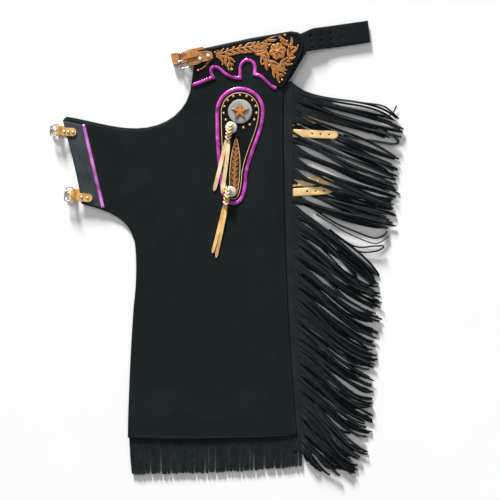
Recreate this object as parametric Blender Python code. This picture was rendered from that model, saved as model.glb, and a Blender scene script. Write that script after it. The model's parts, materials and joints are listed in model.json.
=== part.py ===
"""A pair of fringed leather chaps, folded at the front buckle and laid flat on a surface.

The left leg lies on top, outer face up; the right leg lies face down under it. +X is towards the outer
fringe, +Y towards the waist, +Z up. The origin is the middle of the footprint, on the surface.
Sizes are in millimetres until an object is made, which is in metres.
"""

import math

import bpy
from mathutils import Vector
from mathutils.geometry import delaunay_2d_cdt

MM = 0.001

# Leather and gaps
LEATHER = 1.8  # leg panels
TRIM = 1.6  # yokes, fringe headers
FOIL = 1.2  # metallic piping
OVERLAY = 1.4  # tooled overlay, band, applique layers
STRAP = 1.8  # thigh straps and billets
WAIST_STRAP = 2.0
BELT = 3.0
GAP = 0.5  # between layers
SEAM = 0.3  # between pieces that meet edge to edge

# Overall reach
HALF_WIDTH = 398.0  # thigh buckle to fringe tip, halved
HALF_LENGTH = 508.5  # belt end to fringe end, halved
LOWER_SHIFT = (2.0, 4.0)  # the right leg peeps out from under the left by this much

# Side seam: nearly straight at the hip, swinging out towards the hem
SEAM_TOP = 342.0
SEAM_HIP_X = 126.0
SEAM_SWING = 31.0
SEAM_POWER = 2.2
HEM_Y = -421.0
HEADER_OVERLAP = 12.0  # how far a fringe header reaches under its panel

PIPING_WIDTH = 7.5
BORDER_WIDTH = 8.0
THIGH_STRAP_WIDTH = 18.0

CURVE_STEPS = 8
PANEL_GRID = 50.0  # halved where the stack slopes
FINE_GRID = 12.5

COLOURS = {
    "black_leather": ((0.014, 0.018, 0.018), 0.55, 0.0),
    "fringe_leather": ((0.018, 0.022, 0.024), 0.6, 0.0),
    "band_leather": ((0.055, 0.064, 0.071), 0.45, 0.0),
    "magenta_foil": ((0.55, 0.08, 0.5), 0.25, 0.7),
    "tooled_tan": ((0.42, 0.18, 0.055), 0.5, 0.0),
    "strap_tan": ((0.75, 0.45, 0.18), 0.5, 0.0),
    "string_tan": ((0.8, 0.56, 0.28), 0.6, 0.0),
    "silver_leather": ((0.36, 0.37, 0.35), 0.45, 0.3),
    "nickel": ((0.75, 0.75, 0.76), 0.2, 1.0),
}


# ---------------------------------------------------------------- shapes in the plane


def smooth(t):
    t = min(1.0, max(0.0, t))
    return t * t * (3 - 2 * t)


def bezier(a, b, c, d, steps=CURVE_STEPS):
    """Points after a on the cubic curve from a to d."""
    points = []
    for i in range(1, steps + 1):
        t = i / steps
        k = ((1 - t) ** 3, 3 * t * (1 - t) ** 2, 3 * t * t * (1 - t), t**3)
        points.append(tuple(sum(w * p[axis] for w, p in zip(k, (a, b, c, d))) for axis in (0, 1)))
    return points


def path(start, *pieces):
    """A line through pieces: a point is a straight run, and three points are a curve's two handles and end."""
    points = [start]
    for piece in pieces:
        if isinstance(piece[0], tuple):
            points += bezier(points[-1], *piece)
        else:
            points.append(piece)
    return points


def shifted(points, by):
    return [(x + by[0], y + by[1]) for x, y in points]


def circle(centre, radius, count):
    turn = 2 * math.pi / count
    return [
        (centre[0] + radius * math.cos(i * turn), centre[1] + radius * math.sin(i * turn))
        for i in range(count)
    ]


def beside(line, distance, closed=False):
    """The line moved sideways, to its left where distance is positive, with mitred corners."""
    moved = []
    count = len(line)
    for i, here in enumerate(line):
        before = line[i - 1] if closed or i else None
        after = line[(i + 1) % count] if closed or i < count - 1 else None
        normals = []
        for a, b in ((before, here), (here, after)):
            if a is not None and b is not None:
                run = Vector(b) - Vector(a)
                normals.append(Vector((-run.y, run.x)).normalized())
        bisector = sum(normals, Vector((0, 0))).normalized()
        reach = distance / max(0.5, bisector.dot(normals[0]))
        moved.append(tuple(Vector(here) + bisector * reach))
    return moved


def ribbon(line, near, far):
    """The outline of a strip that runs along line, from near to far on its right-hand side."""
    return beside(line, -near) + beside(line, -far)[::-1]


def divided(outline, longest):
    points = []
    for a, b in zip(outline, outline[1:] + outline[:1]):
        count = max(1, math.ceil(math.dist(a, b) / longest))
        points += [tuple(Vector(a).lerp(Vector(b), i / count)) for i in range(count)]
    return points


def winding(point, outline):
    """How many times the outline goes round the point."""
    x, y = point
    turns = 0
    for (ax, ay), (bx, by) in zip(outline, outline[1:] + outline[:1]):
        if (ay <= y) != (by <= y):
            side = (bx - ax) * (y - ay) - (x - ax) * (by - ay)
            if by > ay and side > 0:
                turns += 1
            elif by < ay and side < 0:
                turns -= 1
    return turns


def edge_distance(point, outline):
    best = math.inf
    p = Vector(point)
    for a, b in zip(outline, outline[1:] + outline[:1]):
        start, run = Vector(a), Vector(b) - Vector(a)
        t = min(1.0, max(0.0, (p - start).dot(run) / max(run.length_squared, 1e-12)))
        best = min(best, (p - start - run * t).length)
    return best


def grid_inside(outline, holes, grid, fine_where):
    """Points of a square grid inside the outline. Where fine_where says so, the grid is halved."""
    step = grid / 2 if fine_where else grid
    low = [min(p[k] for p in outline) for k in (0, 1)]
    high = [max(p[k] for p in outline) for k in (0, 1)]
    first = [math.floor(v / step) for v in low]
    last = [math.ceil(v / step) for v in high]
    points = []
    for i in range(first[0], last[0] + 1):
        for j in range(first[1], last[1] + 1):
            at = (i * step, j * step)
            here = grid
            if fine_where:
                if fine_where(*at):
                    here = step
                elif i % 2 or j % 2:
                    continue
            if not winding(at, outline) or edge_distance(at, outline) < 0.4 * here:
                continue
            if any(winding(at, hole) or edge_distance(at, hole) < 0.4 * here for hole in holes):
                continue
            points.append(at)
    return points


def triangulated(outline, holes=(), grid=PANEL_GRID, fine_where=None):
    """(points, triangles) of the region inside the outline and outside the holes."""
    loops = [divided(outline, grid / 2 if fine_where else grid)] + list(holes)
    points, edges = [], []
    for loop in loops:
        first = len(points)
        points += loop
        edges += [(first + i, first + (i + 1) % len(loop)) for i in range(len(loop))]
    points += grid_inside(loops[0], holes, grid, fine_where)
    made = delaunay_2d_cdt([Vector(p) for p in points], edges, [], 0, 1e-4)
    flat = [tuple(v) for v in made[0]]
    kept = []
    for face in made[2]:
        centre = tuple(sum(flat[i][k] for i in face) / 3 for k in (0, 1))
        if winding(centre, loops[0]) and not any(winding(centre, hole) for hole in holes):
            a, b, c = (flat[i] for i in face)
            area = (b[0] - a[0]) * (c[1] - a[1]) - (c[0] - a[0]) * (b[1] - a[1])
            kept.append(tuple(face) if area > 0 else tuple(face)[::-1])
    return flat, kept


# ---------------------------------------------------------------- objects


def material(name):
    made = bpy.data.materials.get(name)
    if made is None:
        colour, roughness, metallic = COLOURS[name]
        made = bpy.data.materials.new(name)
        made.use_nodes = True
        shader = made.node_tree.nodes["Principled BSDF"]
        shader.inputs["Base Color"].default_value = (*colour, 1)
        shader.inputs["Roughness"].default_value = roughness
        shader.inputs["Metallic"].default_value = metallic
        made.diffuse_color = (*colour, 1)
    return made


def add_object(name, points, faces, finish, round_piece=False):
    """A mesh object from points in millimetres."""
    mesh = bpy.data.meshes.new(name)
    mesh.from_pydata([tuple(v * MM for v in p) for p in points], [], faces)
    mesh.validate()
    mesh.materials.append(material(finish))
    if round_piece:
        mesh.shade_smooth()
        mesh.set_sharp_from_angle(angle=math.radians(40))
    made = bpy.data.objects.new(name, mesh)
    bpy.context.scene.collection.objects.link(made)
    return made


def slab(name, outline, finish, under, over, holes=(), grid=PANEL_GRID, fine_where=None):
    """A closed wall cut to the outline. under and over give the 3-D points of its two faces."""
    flat, triangles = triangulated(outline, holes, grid, fine_where)
    used = sorted({i for t in triangles for i in t})
    index = {old: new for new, old in enumerate(used)}
    count = len(used)
    points = [under(*flat[i]) for i in used] + [over(*flat[i]) for i in used]
    faces, sides = [], {}
    for triangle in triangles:
        a, b, c = (index[i] for i in triangle)
        faces += [(c, b, a), (a + count, b + count, c + count)]
        for edge in ((a, b), (b, c), (c, a)):
            sides[edge] = True
    for a, b in sides:
        if (b, a) not in sides:
            faces.append((a, b, b + count, a + count))
    return add_object(name, points, faces, finish)


def layer(name, outline, finish, base, thickness, **options):
    """A sheet of leather lying at the height base(x, y)."""
    return slab(
        name,
        outline,
        finish,
        lambda x, y: (x, y, base(x, y)),
        lambda x, y: (x, y, base(x, y) + thickness),
        **options,
    )


def turned(name, profile, centre, finish, count=20):
    """A turned solid. The profile is (radius, height) pairs, top middle to bottom middle."""
    cx, cy, cz = centre
    rings = profile[1:-1]
    points = [(cx, cy, cz + profile[0][1])]
    for radius, height in rings:
        points += [(*p, cz + height) for p in circle((cx, cy), radius, count)]
    points.append((cx, cy, cz + profile[-1][1]))
    faces = []
    last = len(points) - 1
    for i in range(count):
        j = (i + 1) % count
        faces.append((0, 1 + i, 1 + j))
        for ring in range(len(rings) - 1):
            a, b = 1 + ring * count, 1 + (ring + 1) * count
            faces.append((a + i, b + i, b + j, a + j))
        bottom = 1 + (len(rings) - 1) * count
        faces.append((last, bottom + j, bottom + i))
    return add_object(name, points, faces, finish, round_piece=True)


def swept(name, line, radius, finish, closed=False, sides=8):
    """A bar of round section that follows a line of 3-D points."""
    count = len(line)
    points, faces = [], []
    for i, here in enumerate(line):
        before = Vector(line[i - 1]) if closed or i else Vector(here)
        after = Vector(line[(i + 1) % count]) if closed or i < count - 1 else Vector(here)
        along = (after - before).normalized()
        across = along.cross(Vector((0, 0, 1)))
        if across.length < 1e-3:
            across = along.cross(Vector((0, 1, 0)))
        across.normalize()
        up = across.cross(along)
        for k in range(sides):
            turn = 2 * math.pi * (k + 0.5) / sides
            offset = across * math.cos(turn) * radius + up * math.sin(turn) * radius
            points.append(tuple(Vector(here) + offset))
    for i in range(count if closed else count - 1):
        j = (i + 1) % count
        for k in range(sides):
            m = (k + 1) % sides
            faces.append((i * sides + k, j * sides + k, j * sides + m, i * sides + m))
    if not closed:
        faces.append(tuple(range(sides)))
        faces.append(tuple((count - 1) * sides + k for k in range(sides))[::-1])
    return add_object(name, points, faces, finish, round_piece=True)


# ---------------------------------------------------------------- how the stack lies


def seam_x(y):
    """Where the side seam is at a height y."""
    down = max(0.0, (SEAM_TOP - y) / (SEAM_TOP - HEM_Y))
    return SEAM_HIP_X + SEAM_SWING * down**SEAM_POWER


YOKE_RISE = TRIM + GAP
WING_RISE = STRAP + GAP + 0.2
HEADERS = 2 * (TRIM + GAP)
BILLET_ROOM = STRAP + GAP
BELT_ROOM = 2 * (BELT + GAP) - HEADERS - BILLET_ROOM
FRONT_ROOM = WAIST_STRAP + 1.5 * GAP


def right_bottom(x, y):
    """Underside of the right leg's panel: on the surface, lifted by its own yoke and thigh straps."""
    over_yoke = smooth((y - 285) / 70)
    over_wing = smooth((-225 - x) / 65)
    return YOKE_RISE * over_yoke + WING_RISE * over_wing


def between(x, y):
    """Room between the two panels for what is sewn between them."""
    side = smooth((x - seam_x(y) + 105) / 90)
    hem = smooth((-300 - y) / 105)
    front = smooth(-x / 60) * smooth((y - 350) / 55)
    at_side = HEADERS + BILLET_ROOM * smooth(y / 90) + BELT_ROOM * smooth((y - 350) / 70)
    return at_side * side + HEADERS * hem * (1 - side) + FRONT_ROOM * front


def right_top(x, y):
    return right_bottom(x, y) + LEATHER


def left_bottom(x, y):
    return right_top(x, y) + GAP + between(x, y)


def left_top(x, y):
    return left_bottom(x, y) + LEATHER


def on_left(x, y):
    """Height of what lies directly on the left leg's panel."""
    return left_top(x, y) + GAP


def on_yoke(x, y):
    return on_left(x, y) + TRIM + GAP


def sloping(x, y):
    return x > seam_x(y) - 120 or y > 260 or y < -290 or x < -210


def near_seam(x, y):
    return x < seam_x(y) + 65


# ---------------------------------------------------------------- outlines

WAIST_FRONT = (-67.5, 440.0)
YOKE_FRONT = (-79.0, 367.0)
HIP_CORNER = (180.0, 439.0)
SIDE_CORNER = (144.0, 378.0)
WING_TOP = (-368.0, 284.0)
WING_BOTTOM = (-326.0, 97.0)
HEM_FRONT = (-222.0, -428.0)


def side_seam(y_from, y_to, steps):
    return [
        (seam_x(y_from + (y_to - y_from) * i / steps), y_from + (y_to - y_from) * i / steps)
        for i in range(steps + 1)
    ]


def leg_outline():
    hem = path(HEM_FRONT, ((-140, -438), (20, -430), (seam_x(HEM_Y), HEM_Y)))
    waist = path(
        (130, 362),
        SIDE_CORNER,
        HIP_CORNER,
        ((176, 452), (173, 472), (156, 477.5)),
        (142, 480),
        (52, 464.5),
        (WAIST_FRONT[0] + 1.5, WAIST_FRONT[1] - 1.5),
        (-73, 405),
        YOKE_FRONT,
        ((-86, 305), (-135, 263), (-207, 263)),
        ((-260, 263), (-310, 281), (-362, 289)),
        WING_TOP,
        ((-352, 220), (-334, 160), WING_BOTTOM),
        ((-262, 82), (-216, 62), (-207, 11)),
        ((-202, -20), (-202, -80), (-209, -130)),
        ((-215, -215), (-221, -320), HEM_FRONT),
    )
    return hem[:-1] + side_seam(HEM_Y, SEAM_TOP, 22) + waist[:-1]


def yoke_edge():
    """The yoke's scalloped lower edge, front to back."""
    return path(
        (-78.6, 367),
        (-36, 383),
        ((-44, 398), (-39, 409), (-26, 409)),
        ((-8, 408), (-6, 384), (26, 384)),
        (26, 402),
        ((28, 431), (66, 431), (68, 402)),
        (67, 391),
        ((86, 389), (92, 366), (113, 359)),
    )


def yoke_outline():
    back = path(
        (113, 359),
        (121, 356),
        (128, 360),
        (137, 376),
        (148.5, 398),
        (164, 425),
        ((176, 444), (174, 472), (158, 479)),
        (142, 481.5),
        (52, 466),
        WAIST_FRONT,
        (-74, 405),
    )
    return yoke_edge() + back[1:]


def overlay_outline():
    """The tooled overlay stays inside the yoke and clear of the waist strap."""
    return path(
        (-30, 437),
        (-27, 417),
        ((-12, 414), (-4, 395), (14, 391)),
        (17, 402),
        ((20, 440), (74, 440), (78, 402)),
        ((92, 396), (100, 378), (121, 364)),
        (131, 380),
        (157, 424),
        ((167, 444), (164, 466), (154, 472)),
        (140, 474),
        (52, 459),
        (-24, 443),
    )


def belt_outline(reach):
    """The back belt, from its end under the hip to its free end."""
    return path(
        (122, 442),
        (172, 438),
        (180, 439.5),
        (254, 450),
        (reach, 459.5 + (reach - 317) * 0.15),
        (reach - 5, HALF_LENGTH + (reach - 322) * 0.15),
        (254, 499.5),
        (193.5, 490.5),
        ((176, 485), (170, 477), (150, 476)),
        (122, 473),
    )


BELT_HOLES = [  # column of holes: distance along the belt, height, rows
    {"x": 190.5, "y": 459.5, "rows": (-1, 0, 1)},
    {"x": 212.0, "y": 462.5, "rows": (-1, 0, 1)},
    {"x": 234.5, "y": 466.5, "rows": (-1, 0, 1)},
    {"x": 258.0, "y": 470.5, "rows": (0,)},
]
BELT_HOLE_STEP = 13.0
BELT_HOLE_RADIUS = 1.5


def fringe_reach():
    """The side fringe's tips, top to bottom."""
    return path(
        SIDE_CORNER,
        ((176, 342), (240, 336), (333, 321)),
        (372, 312),
        (393, 300),
        (HALF_WIDTH, 258),
        (388, 228),
        (388, 150),
        (384, 60),
        (360, 0),
        (349, -60),
        (344, -164),
        (334, -230),
        (329, -330),
        (325, -423),
        (313, -468),
        (290, -HALF_LENGTH),
        (243, -503),
        (191, -478),
        (171, -458),
    )


# ---------------------------------------------------------------- legs


def make_panels():
    outline = leg_outline()
    layer(
        "right_leg_panel", shifted(outline, LOWER_SHIFT), "black_leather", right_bottom, LEATHER,
        fine_where=sloping,
    )
    layer("left_leg_panel", outline, "black_leather", left_bottom, LEATHER, fine_where=sloping)


def make_yokes():
    outline = yoke_outline()
    layer("right_yoke", shifted(outline, LOWER_SHIFT), "black_leather", lambda x, y: 0.0, TRIM)
    layer("left_yoke", outline, "black_leather", on_left, TRIM, grid=1.5 * FINE_GRID)
    layer("left_yoke_overlay", overlay_outline(), "tooled_tan", on_yoke, OVERLAY, grid=FINE_GRID)
    piping = ribbon(yoke_edge(), SEAM, SEAM + PIPING_WIDTH)
    layer("left_yoke_piping", piping, "magenta_foil", on_left, FOIL, grid=FINE_GRID)


THIGH_LINE_TOP = (-325.5, 274.0)  # where the piping beside the thigh band starts and ends
THIGH_LINE_BOTTOM = (-281.5, 87.5)


def make_thigh_band():
    left = path((WING_TOP[0] + 1.5, WING_TOP[1] - 1), ((-350.5, 220), (-332.5, 160), (-324.5, 99)))
    outline = left + [THIGH_LINE_BOTTOM, THIGH_LINE_TOP]
    layer("left_thigh_band", outline, "band_leather", on_left, OVERLAY, grid=2 * FINE_GRID)
    line = [THIGH_LINE_TOP, THIGH_LINE_BOTTOM]
    piping = ribbon(line, -SEAM - PIPING_WIDTH, -SEAM)
    layer("left_thigh_piping", piping, "magenta_foil", on_left, FOIL, grid=2 * FINE_GRID)


# ---------------------------------------------------------------- belts, fringes, billets


def make_belts():
    holes = [
        circle((column["x"] - row * 1.8, column["y"] + row * BELT_HOLE_STEP), BELT_HOLE_RADIUS, 8)
        for column in BELT_HOLES
        for row in column["rows"]
    ]

    def past_hip(x):
        return smooth((x - 184) / 60)

    def lower(x, y):
        return (right_top(x, y) + GAP) * (1 - past_hip(x))

    def upper(x, y):
        in_stack = left_bottom(x, y) - GAP - BELT
        return in_stack * (1 - past_hip(x)) + (BELT + GAP) * past_hip(x)

    layer("right_belt", belt_outline(318.0), "black_leather", lower, BELT, grid=FINE_GRID)
    layer("left_belt", belt_outline(322.0), "black_leather", upper, BELT, holes=holes, grid=FINE_GRID)


PILE_LOW = 4.0  # the right leg's fringe lies this high
PILE_BILLET = PILE_LOW + GAP + BILLET_ROOM
PILE_HIGH = 11.0  # top of the left leg's fringe


def past_seam(x, y):
    return smooth((x - seam_x(y) - 14) / 40)


def make_side_fringes():
    header = side_seam(-457.0, 372.0, 20)
    inner = [(x - HEADER_OVERLAP, y) for x, y in header]
    outline = [(171, -457.6), *inner, (134, 374), *fringe_reach()[:-1]]

    def mixed(x, y, at_header, in_pile):
        k = past_seam(x, y)
        return at_header * (1 - k) + in_pile * k

    def low_under(x, y):
        return (x, y, mixed(x, y, right_top(x, y) + GAP, 0.0))

    def low_over(x, y):
        return (x, y, mixed(x, y, right_top(x, y) + GAP + TRIM, PILE_LOW))

    def high_under(x, y):
        return (x, y, mixed(x, y, left_bottom(x, y) - GAP - TRIM, PILE_BILLET))

    def high_over(x, y):
        return (x, y, mixed(x, y, left_bottom(x, y) - GAP, PILE_HIGH))

    slab("right_side_fringe", outline, "fringe_leather", low_under, low_over, fine_where=near_seam)
    slab("left_side_fringe", outline, "fringe_leather", high_under, high_over, fine_where=near_seam)


def make_hem_fringes():
    corner_x = seam_x(HEM_Y) - HEADER_OVERLAP - 2.0
    outline = path(
        (-220.5, HEM_FRONT[1] + HEADER_OVERLAP),
        (-219, -489),
        (-213, -505),
        (-60, -502),
        (60, -496),
        (169, -493),
        (169, -460),
        (corner_x, -460),
        (corner_x, HEM_Y + HEADER_OVERLAP - 2.0),
        ((20, -418), (-140, -426), (-220.5, HEM_FRONT[1] + HEADER_OVERLAP)),
    )[:-1]

    def past_hem(y):
        return smooth((-434 - y) / 35)

    def low(x, y):
        return (right_top(x, y) + GAP) * (1 - past_hem(y))

    def high(x, y):
        in_stack = left_bottom(x, y) - GAP - TRIM
        return in_stack * (1 - past_hem(y)) + (TRIM + GAP) * past_hem(y)

    layer("right_hem_fringe", outline, "fringe_leather", low, TRIM, fine_where=sloping)
    layer("left_hem_fringe", outline, "fringe_leather", high, TRIM, fine_where=sloping)


BILLETS = [  # root height at the seam, tip x and y, how far the point tapers
    {"name": "right_billet_upper", "root_y": 278.0, "tip": (250.0, 292.0), "point": 9.0},
    {"name": "left_billet_upper", "root_y": 257.0, "tip": (250.0, 251.0), "point": 9.0},
    {"name": "right_billet_lower", "root_y": 142.5, "tip": (243.0, 151.0), "point": 9.0},
    {"name": "left_billet_lower", "root_y": 120.5, "tip": (239.0, 128.0), "point": 20.0},
]
BILLET_HOLE_STEP = 19.0


def strap_cut(length, width, point, tip_width=5.0):
    """A strap's flat cut: its root at 0, its tip tapering over the last stretch."""
    half = width / 2
    shoulder = length - point
    return [
        (0, -half),
        (shoulder, -half),
        (shoulder + 0.6 * point, -0.8 * half),
        (length, -tip_width / 2),
        (length, tip_width / 2),
        (shoulder + 0.6 * point, 0.8 * half),
        (shoulder, half),
        (0, half),
    ]


def make_billets():
    for billet in BILLETS:
        root = Vector((seam_x(billet["root_y"]) - 8.0, billet["root_y"]))
        along = Vector(billet["tip"]) - root
        length = along.length
        along.normalize()
        across = Vector((-along.y, along.x))

        def place(u, v, lift, root=root, along=along, across=across):
            p = root + along * u + across * v
            k = past_seam(p.x, p.y)
            height = (right_top(p.x, p.y) + 2 * GAP + TRIM) * (1 - k) + (PILE_LOW + GAP) * k
            return (p.x, p.y, height + lift)

        holes = [circle((length - 20.0 - i * BILLET_HOLE_STEP, 0), 1.6, 8) for i in range(3)]
        slab(
            billet["name"],
            strap_cut(length, THIGH_STRAP_WIDTH, billet["point"]),
            "strap_tan",
            lambda u, v, place=place: place(u, v, 0.0),
            lambda u, v, place=place: place(u, v, STRAP),
            holes=holes,
            grid=FINE_GRID * 1.2,
        )


# ---------------------------------------------------------------- straps that bend


def route_length(route):
    return sum(math.dist(a, b) for a, b in zip(route, route[1:]))


def arc(centre, radius, start, end, steps):
    """Points on an arc in (run, height), angles in degrees."""
    return [
        (
            centre[0] + radius * math.cos(math.radians(start + (end - start) * i / steps)),
            centre[1] + radius * math.sin(math.radians(start + (end - start) * i / steps)),
        )
        for i in range(steps + 1)
    ]


def eased(a, b, steps=6):
    """Points after a on a smooth step in height, from a to b, in (run, height)."""
    return [
        (a[0] + (b[0] - a[0]) * i / steps, a[1] + (b[1] - a[1]) * smooth(i / steps))
        for i in range(1, steps + 1)
    ]


def half_width(side, s):
    """The half width at a distance s along a strap whose side is (along, half width) pairs."""
    for (a, wa), (b, wb) in zip(side, side[1:]):
        if s <= b:
            return wa + (wb - wa) * max(0.0, s - a) / (b - a)
    return side[-1][1]


def bent_strap(name, side, route, origin, heading, thickness, finish, slot):
    """A strap laid along a route, with a slot for a buckle's tongue.

    side is the strap's cut as (along, half width) pairs. route is (run, height) pairs from origin, which is
    in plan, and heading is the run's direction in degrees. slot is its start, end and half width.
    """
    run = Vector((math.cos(math.radians(heading)), math.sin(math.radians(heading))))
    across = Vector((-run.y, run.x))
    starts = [0.0]
    for a, b in zip(route, route[1:]):
        starts.append(starts[-1] + math.dist(a, b))
    normals = []
    for i in range(len(route)):
        d = Vector(route[min(len(route) - 1, i + 1)]) - Vector(route[max(0, i - 1)])
        d.normalize()
        normals.append(Vector((-d.y, d.x)))
    stations = sorted(s for s in set(starts + [s for s, _ in side] + list(slot[:2])) if s <= starts[-1])
    stations = [s for i, s in enumerate(stations) if i == 0 or s - stations[i - 1] > 0.05]

    def place(s, w, lift):
        k = min(max(i for i, at in enumerate(starts) if at <= s + 1e-9), len(route) - 2)
        t = (s - starts[k]) / (starts[k + 1] - starts[k])
        at = Vector(route[k]).lerp(Vector(route[k + 1]), t)
        at += normals[k].lerp(normals[k + 1], t).normalized() * lift
        plan = Vector(origin) + run * at.x + across * w
        return (plan.x, plan.y, at.y)

    points, faces = [], []
    for lift in (-thickness / 2, thickness / 2):
        for s in stations:
            half = half_width(side, s)
            inner = min(slot[2], 0.5 * half)
            points += [place(s, w, lift) for w in (-half, -inner, inner, half)]
    top = len(points) // 2
    edges = {}
    for i, (s, following) in enumerate(zip(stations, stations[1:])):
        in_slot = slot[0] - 0.06 < s and following < slot[1] + 0.06
        for column in (0, 1, 2):
            if column == 1 and in_slot:
                continue
            a = 4 * i + column
            quad = (a, a + 4, a + 5, a + 1)
            faces += [quad[::-1], tuple(v + top for v in quad)]
            for edge in zip(quad, quad[1:] + quad[:1]):
                edges[edge] = True
    for a, b in edges:
        if (b, a) not in edges:
            faces.append((a, b, b + top, a + top))
    return add_object(name, points, faces, finish)


# ---------------------------------------------------------------- thigh buckles

WIRE = 1.5  # radius of a thigh buckle's frame
FRAME_INNER = 19.6  # across the strap
FRAME_DEPTH = 15.0  # bar to bar
BAR_ROOM = WIRE + SEAM  # from the bar's axis to the leather

THIGH_BUCKLES = [  # bar's middle, the strap's tip x, its heading, and rivets measured back from the tip
    {"name": "upper", "bar": (-380.0, 260.0), "tip": -337.5, "heading": -4.0, "lower_shift": (2.0, 4.0),
     "rivets": (7.0, 17.0, 27.0)},
    {"name": "lower", "bar": (-348.0, 113.5), "tip": -301.5, "heading": -5.0, "lower_shift": (2.0, 9.0),
     "rivets": (10.5, 24.0)},
]


def frame_ring(bar, heading, height, tilt=0.0, inner=FRAME_INNER, depth=FRAME_DEPTH, wire=WIRE):
    """The centreline of a buckle frame. Its fixed bar is at bar, and it reaches away from the strap."""
    away = Vector((-math.cos(math.radians(heading)), -math.sin(math.radians(heading))))
    side = Vector((-away.y, away.x))
    half = inner / 2 + wire
    corner = min(3.0, depth / 4)
    loop = []
    for cu, cv, start in (
        (depth - corner, half - corner, 90),
        (corner, half - corner, 180),
        (corner, -half + corner, 270),
        (depth - corner, -half + corner, 360),
    ):
        for i in range(3):
            turn = math.radians(start - 90 + i * 45)
            loop.append((cu + corner * math.cos(turn), cv + corner * math.sin(turn)))
    rise = math.sin(math.radians(tilt))
    flat = math.cos(math.radians(tilt))
    ring = []
    for u, v in loop:
        p = Vector(bar) + away * u * flat + side * v
        ring.append((p.x, p.y, height + u * rise))
    return ring


def tongue_line(bar, heading, height, length, rise):
    """A buckle tongue's centreline: it starts on the bar and comes to rest on the far bar."""
    away = Vector((-math.cos(math.radians(heading)), -math.sin(math.radians(heading))))
    line = []
    for u, z in ((WIRE + 1.6, 0.0), (0.35 * length, 0.55 * rise), (0.8 * length, rise), (length, rise)):
        p = Vector(bar) + away * u
        line.append((p.x, p.y, height + z))
    return line


def make_thigh_buckle(spec, leg):
    """A strap end folded round the fixed bar of a frame, with its tongue and rivets."""
    on_top = leg == "left"
    heading = spec["heading"]
    run = Vector((math.cos(math.radians(heading)), math.sin(math.radians(heading))))
    bar = Vector(spec["bar"]) + (Vector((0, 0)) if on_top else Vector(spec["lower_shift"]))
    tip = (spec["tip"] - spec["bar"][0]) / run.x
    half = STRAP / 2
    loop = BAR_ROOM + half  # radius of the fold's middle
    bar_height = LOWER_BAR if not on_top else UPPER_BAR
    if on_top:
        rest = left_top(*(bar + run * tip)) + GAP + OVERLAY + GAP + half
        flip = 1
    else:
        rest = half + 0.2
        flip = -1
    edge = 13.5  # run from the bar to where the strap is on the leg
    over = bar_height + flip * loop
    closing = bar_height + flip * (loop - STRAP - 2 * GAP)
    top_run = [(tip, rest), (edge, rest)] + eased((edge, rest), (2.0, over), 5)
    start, end = (90, 270) if on_top else (270, 90)
    fold = arc((0.0, bar_height), loop, start, end, 10)
    back = eased(fold[-1], (edge - 7.0, min(rest, over) - STRAP - GAP if on_top else closing), 4)
    route = top_run + fold + back
    length = route_length(route)
    slot_at = route_length(top_run + fold) - math.pi * loop / 2
    width = THIGH_STRAP_WIDTH
    side = [(0, 0.18 * width), (2.2, 0.36 * width), (6, 0.5 * width), (length, 0.5 * width)]
    slot = (slot_at - 5.5, slot_at + 3.5, 2.0)
    name = f"{leg}_thigh_chape_{spec['name']}"
    bent_strap(name, side, route, bar, heading, STRAP, "strap_tan", slot)
    ring = frame_ring(bar, heading, bar_height)
    swept(f"{leg}_thigh_frame_{spec['name']}", ring, WIRE, "nickel", closed=True)
    line = tongue_line(bar, heading, bar_height, FRAME_DEPTH + 2.4, flip * (WIRE + SEAM + 1.0))
    swept(f"{leg}_thigh_tongue_{spec['name']}", line, 1.0, "nickel", sides=6)
    if on_top:
        for number, back_from_tip in enumerate(spec["rivets"], start=1):
            at = bar + run * (tip - back_from_tip)
            profile = [(0, 1.5), (1.6, 1.3), (2.7, 0.7), (3.0, 0.0), (0, 0.0)]
            seat = rest + half + SEAM
            turned(f"thigh_rivet_{spec['name']}_{number}", profile, (*at, seat), "nickel", 12)


LOWER_BAR = STRAP + BAR_ROOM + 0.2
UPPER_BAR = LOWER_BAR + BAR_ROOM + STRAP + GAP + STRAP + BAR_ROOM


# ---------------------------------------------------------------- waist strap and buckle

WAIST_ORIGIN = (-31.5, 430.5)  # tip of the front chape
WAIST_HEADING = 190.5  # it runs to the front, a little downwards
WAIST_WIRE = 1.6
WAIST_BAR_RUN = 55.0
WAIST_DEPTH = 21.0
WAIST_RISE = 1.2  # the fold round the bar stands up this much
CHAPE_WIDTH = 30.0
CHAPE_TIP_WIDTH = 19.0
BILLET_TIP = (-63.9, 434.2)
BILLET_HEADING = 193.0
BILLET_WIDTH = 15.0
BILLET_BASE_WIDTH = 27.0
SCREWS = [  # along the chape from its tip, and across it
    {"run": 10.0, "across": 1.0},
    {"run": 29.5, "across": 4.0},
]
WAIST_REST = on_yoke(-70.0, 415.0) + WAIST_STRAP / 2
WAIST_LOOP = WAIST_WIRE + SEAM + WAIST_STRAP / 2
WAIST_BAR_HEIGHT = WAIST_REST + WAIST_RISE - WAIST_LOOP


def make_waist_chape():
    over = WAIST_BAR_HEIGHT + WAIST_LOOP
    fold = arc((WAIST_BAR_RUN, WAIST_BAR_HEIGHT), WAIST_LOOP, 90, -90, 10)
    rise = eased((36.0, WAIST_REST), (WAIST_BAR_RUN - 3.0, over), 4)
    back = [(WAIST_BAR_RUN - 8.0, WAIST_BAR_HEIGHT - WAIST_LOOP)]
    front = [(0.0, WAIST_REST), (36.0, WAIST_REST)] + rise
    route = front + fold + back
    length = route_length(route)
    tip, wide = CHAPE_TIP_WIDTH / 2, CHAPE_WIDTH / 2
    side = path(
        (0, 3.0), ((0.5, 7), (4, tip), (9, tip)), (20, tip + 0.5),
        ((30, tip + 2), (33, wide), (42, wide)), (length, wide),
    )
    middle = route_length(front + fold) - math.pi * WAIST_LOOP / 2
    slot = (middle - 7, middle + 4, 2.4)
    bent_strap(
        "waist_chape", side, route, WAIST_ORIGIN, WAIST_HEADING, WAIST_STRAP, "tooled_tan", slot,
    )


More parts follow.
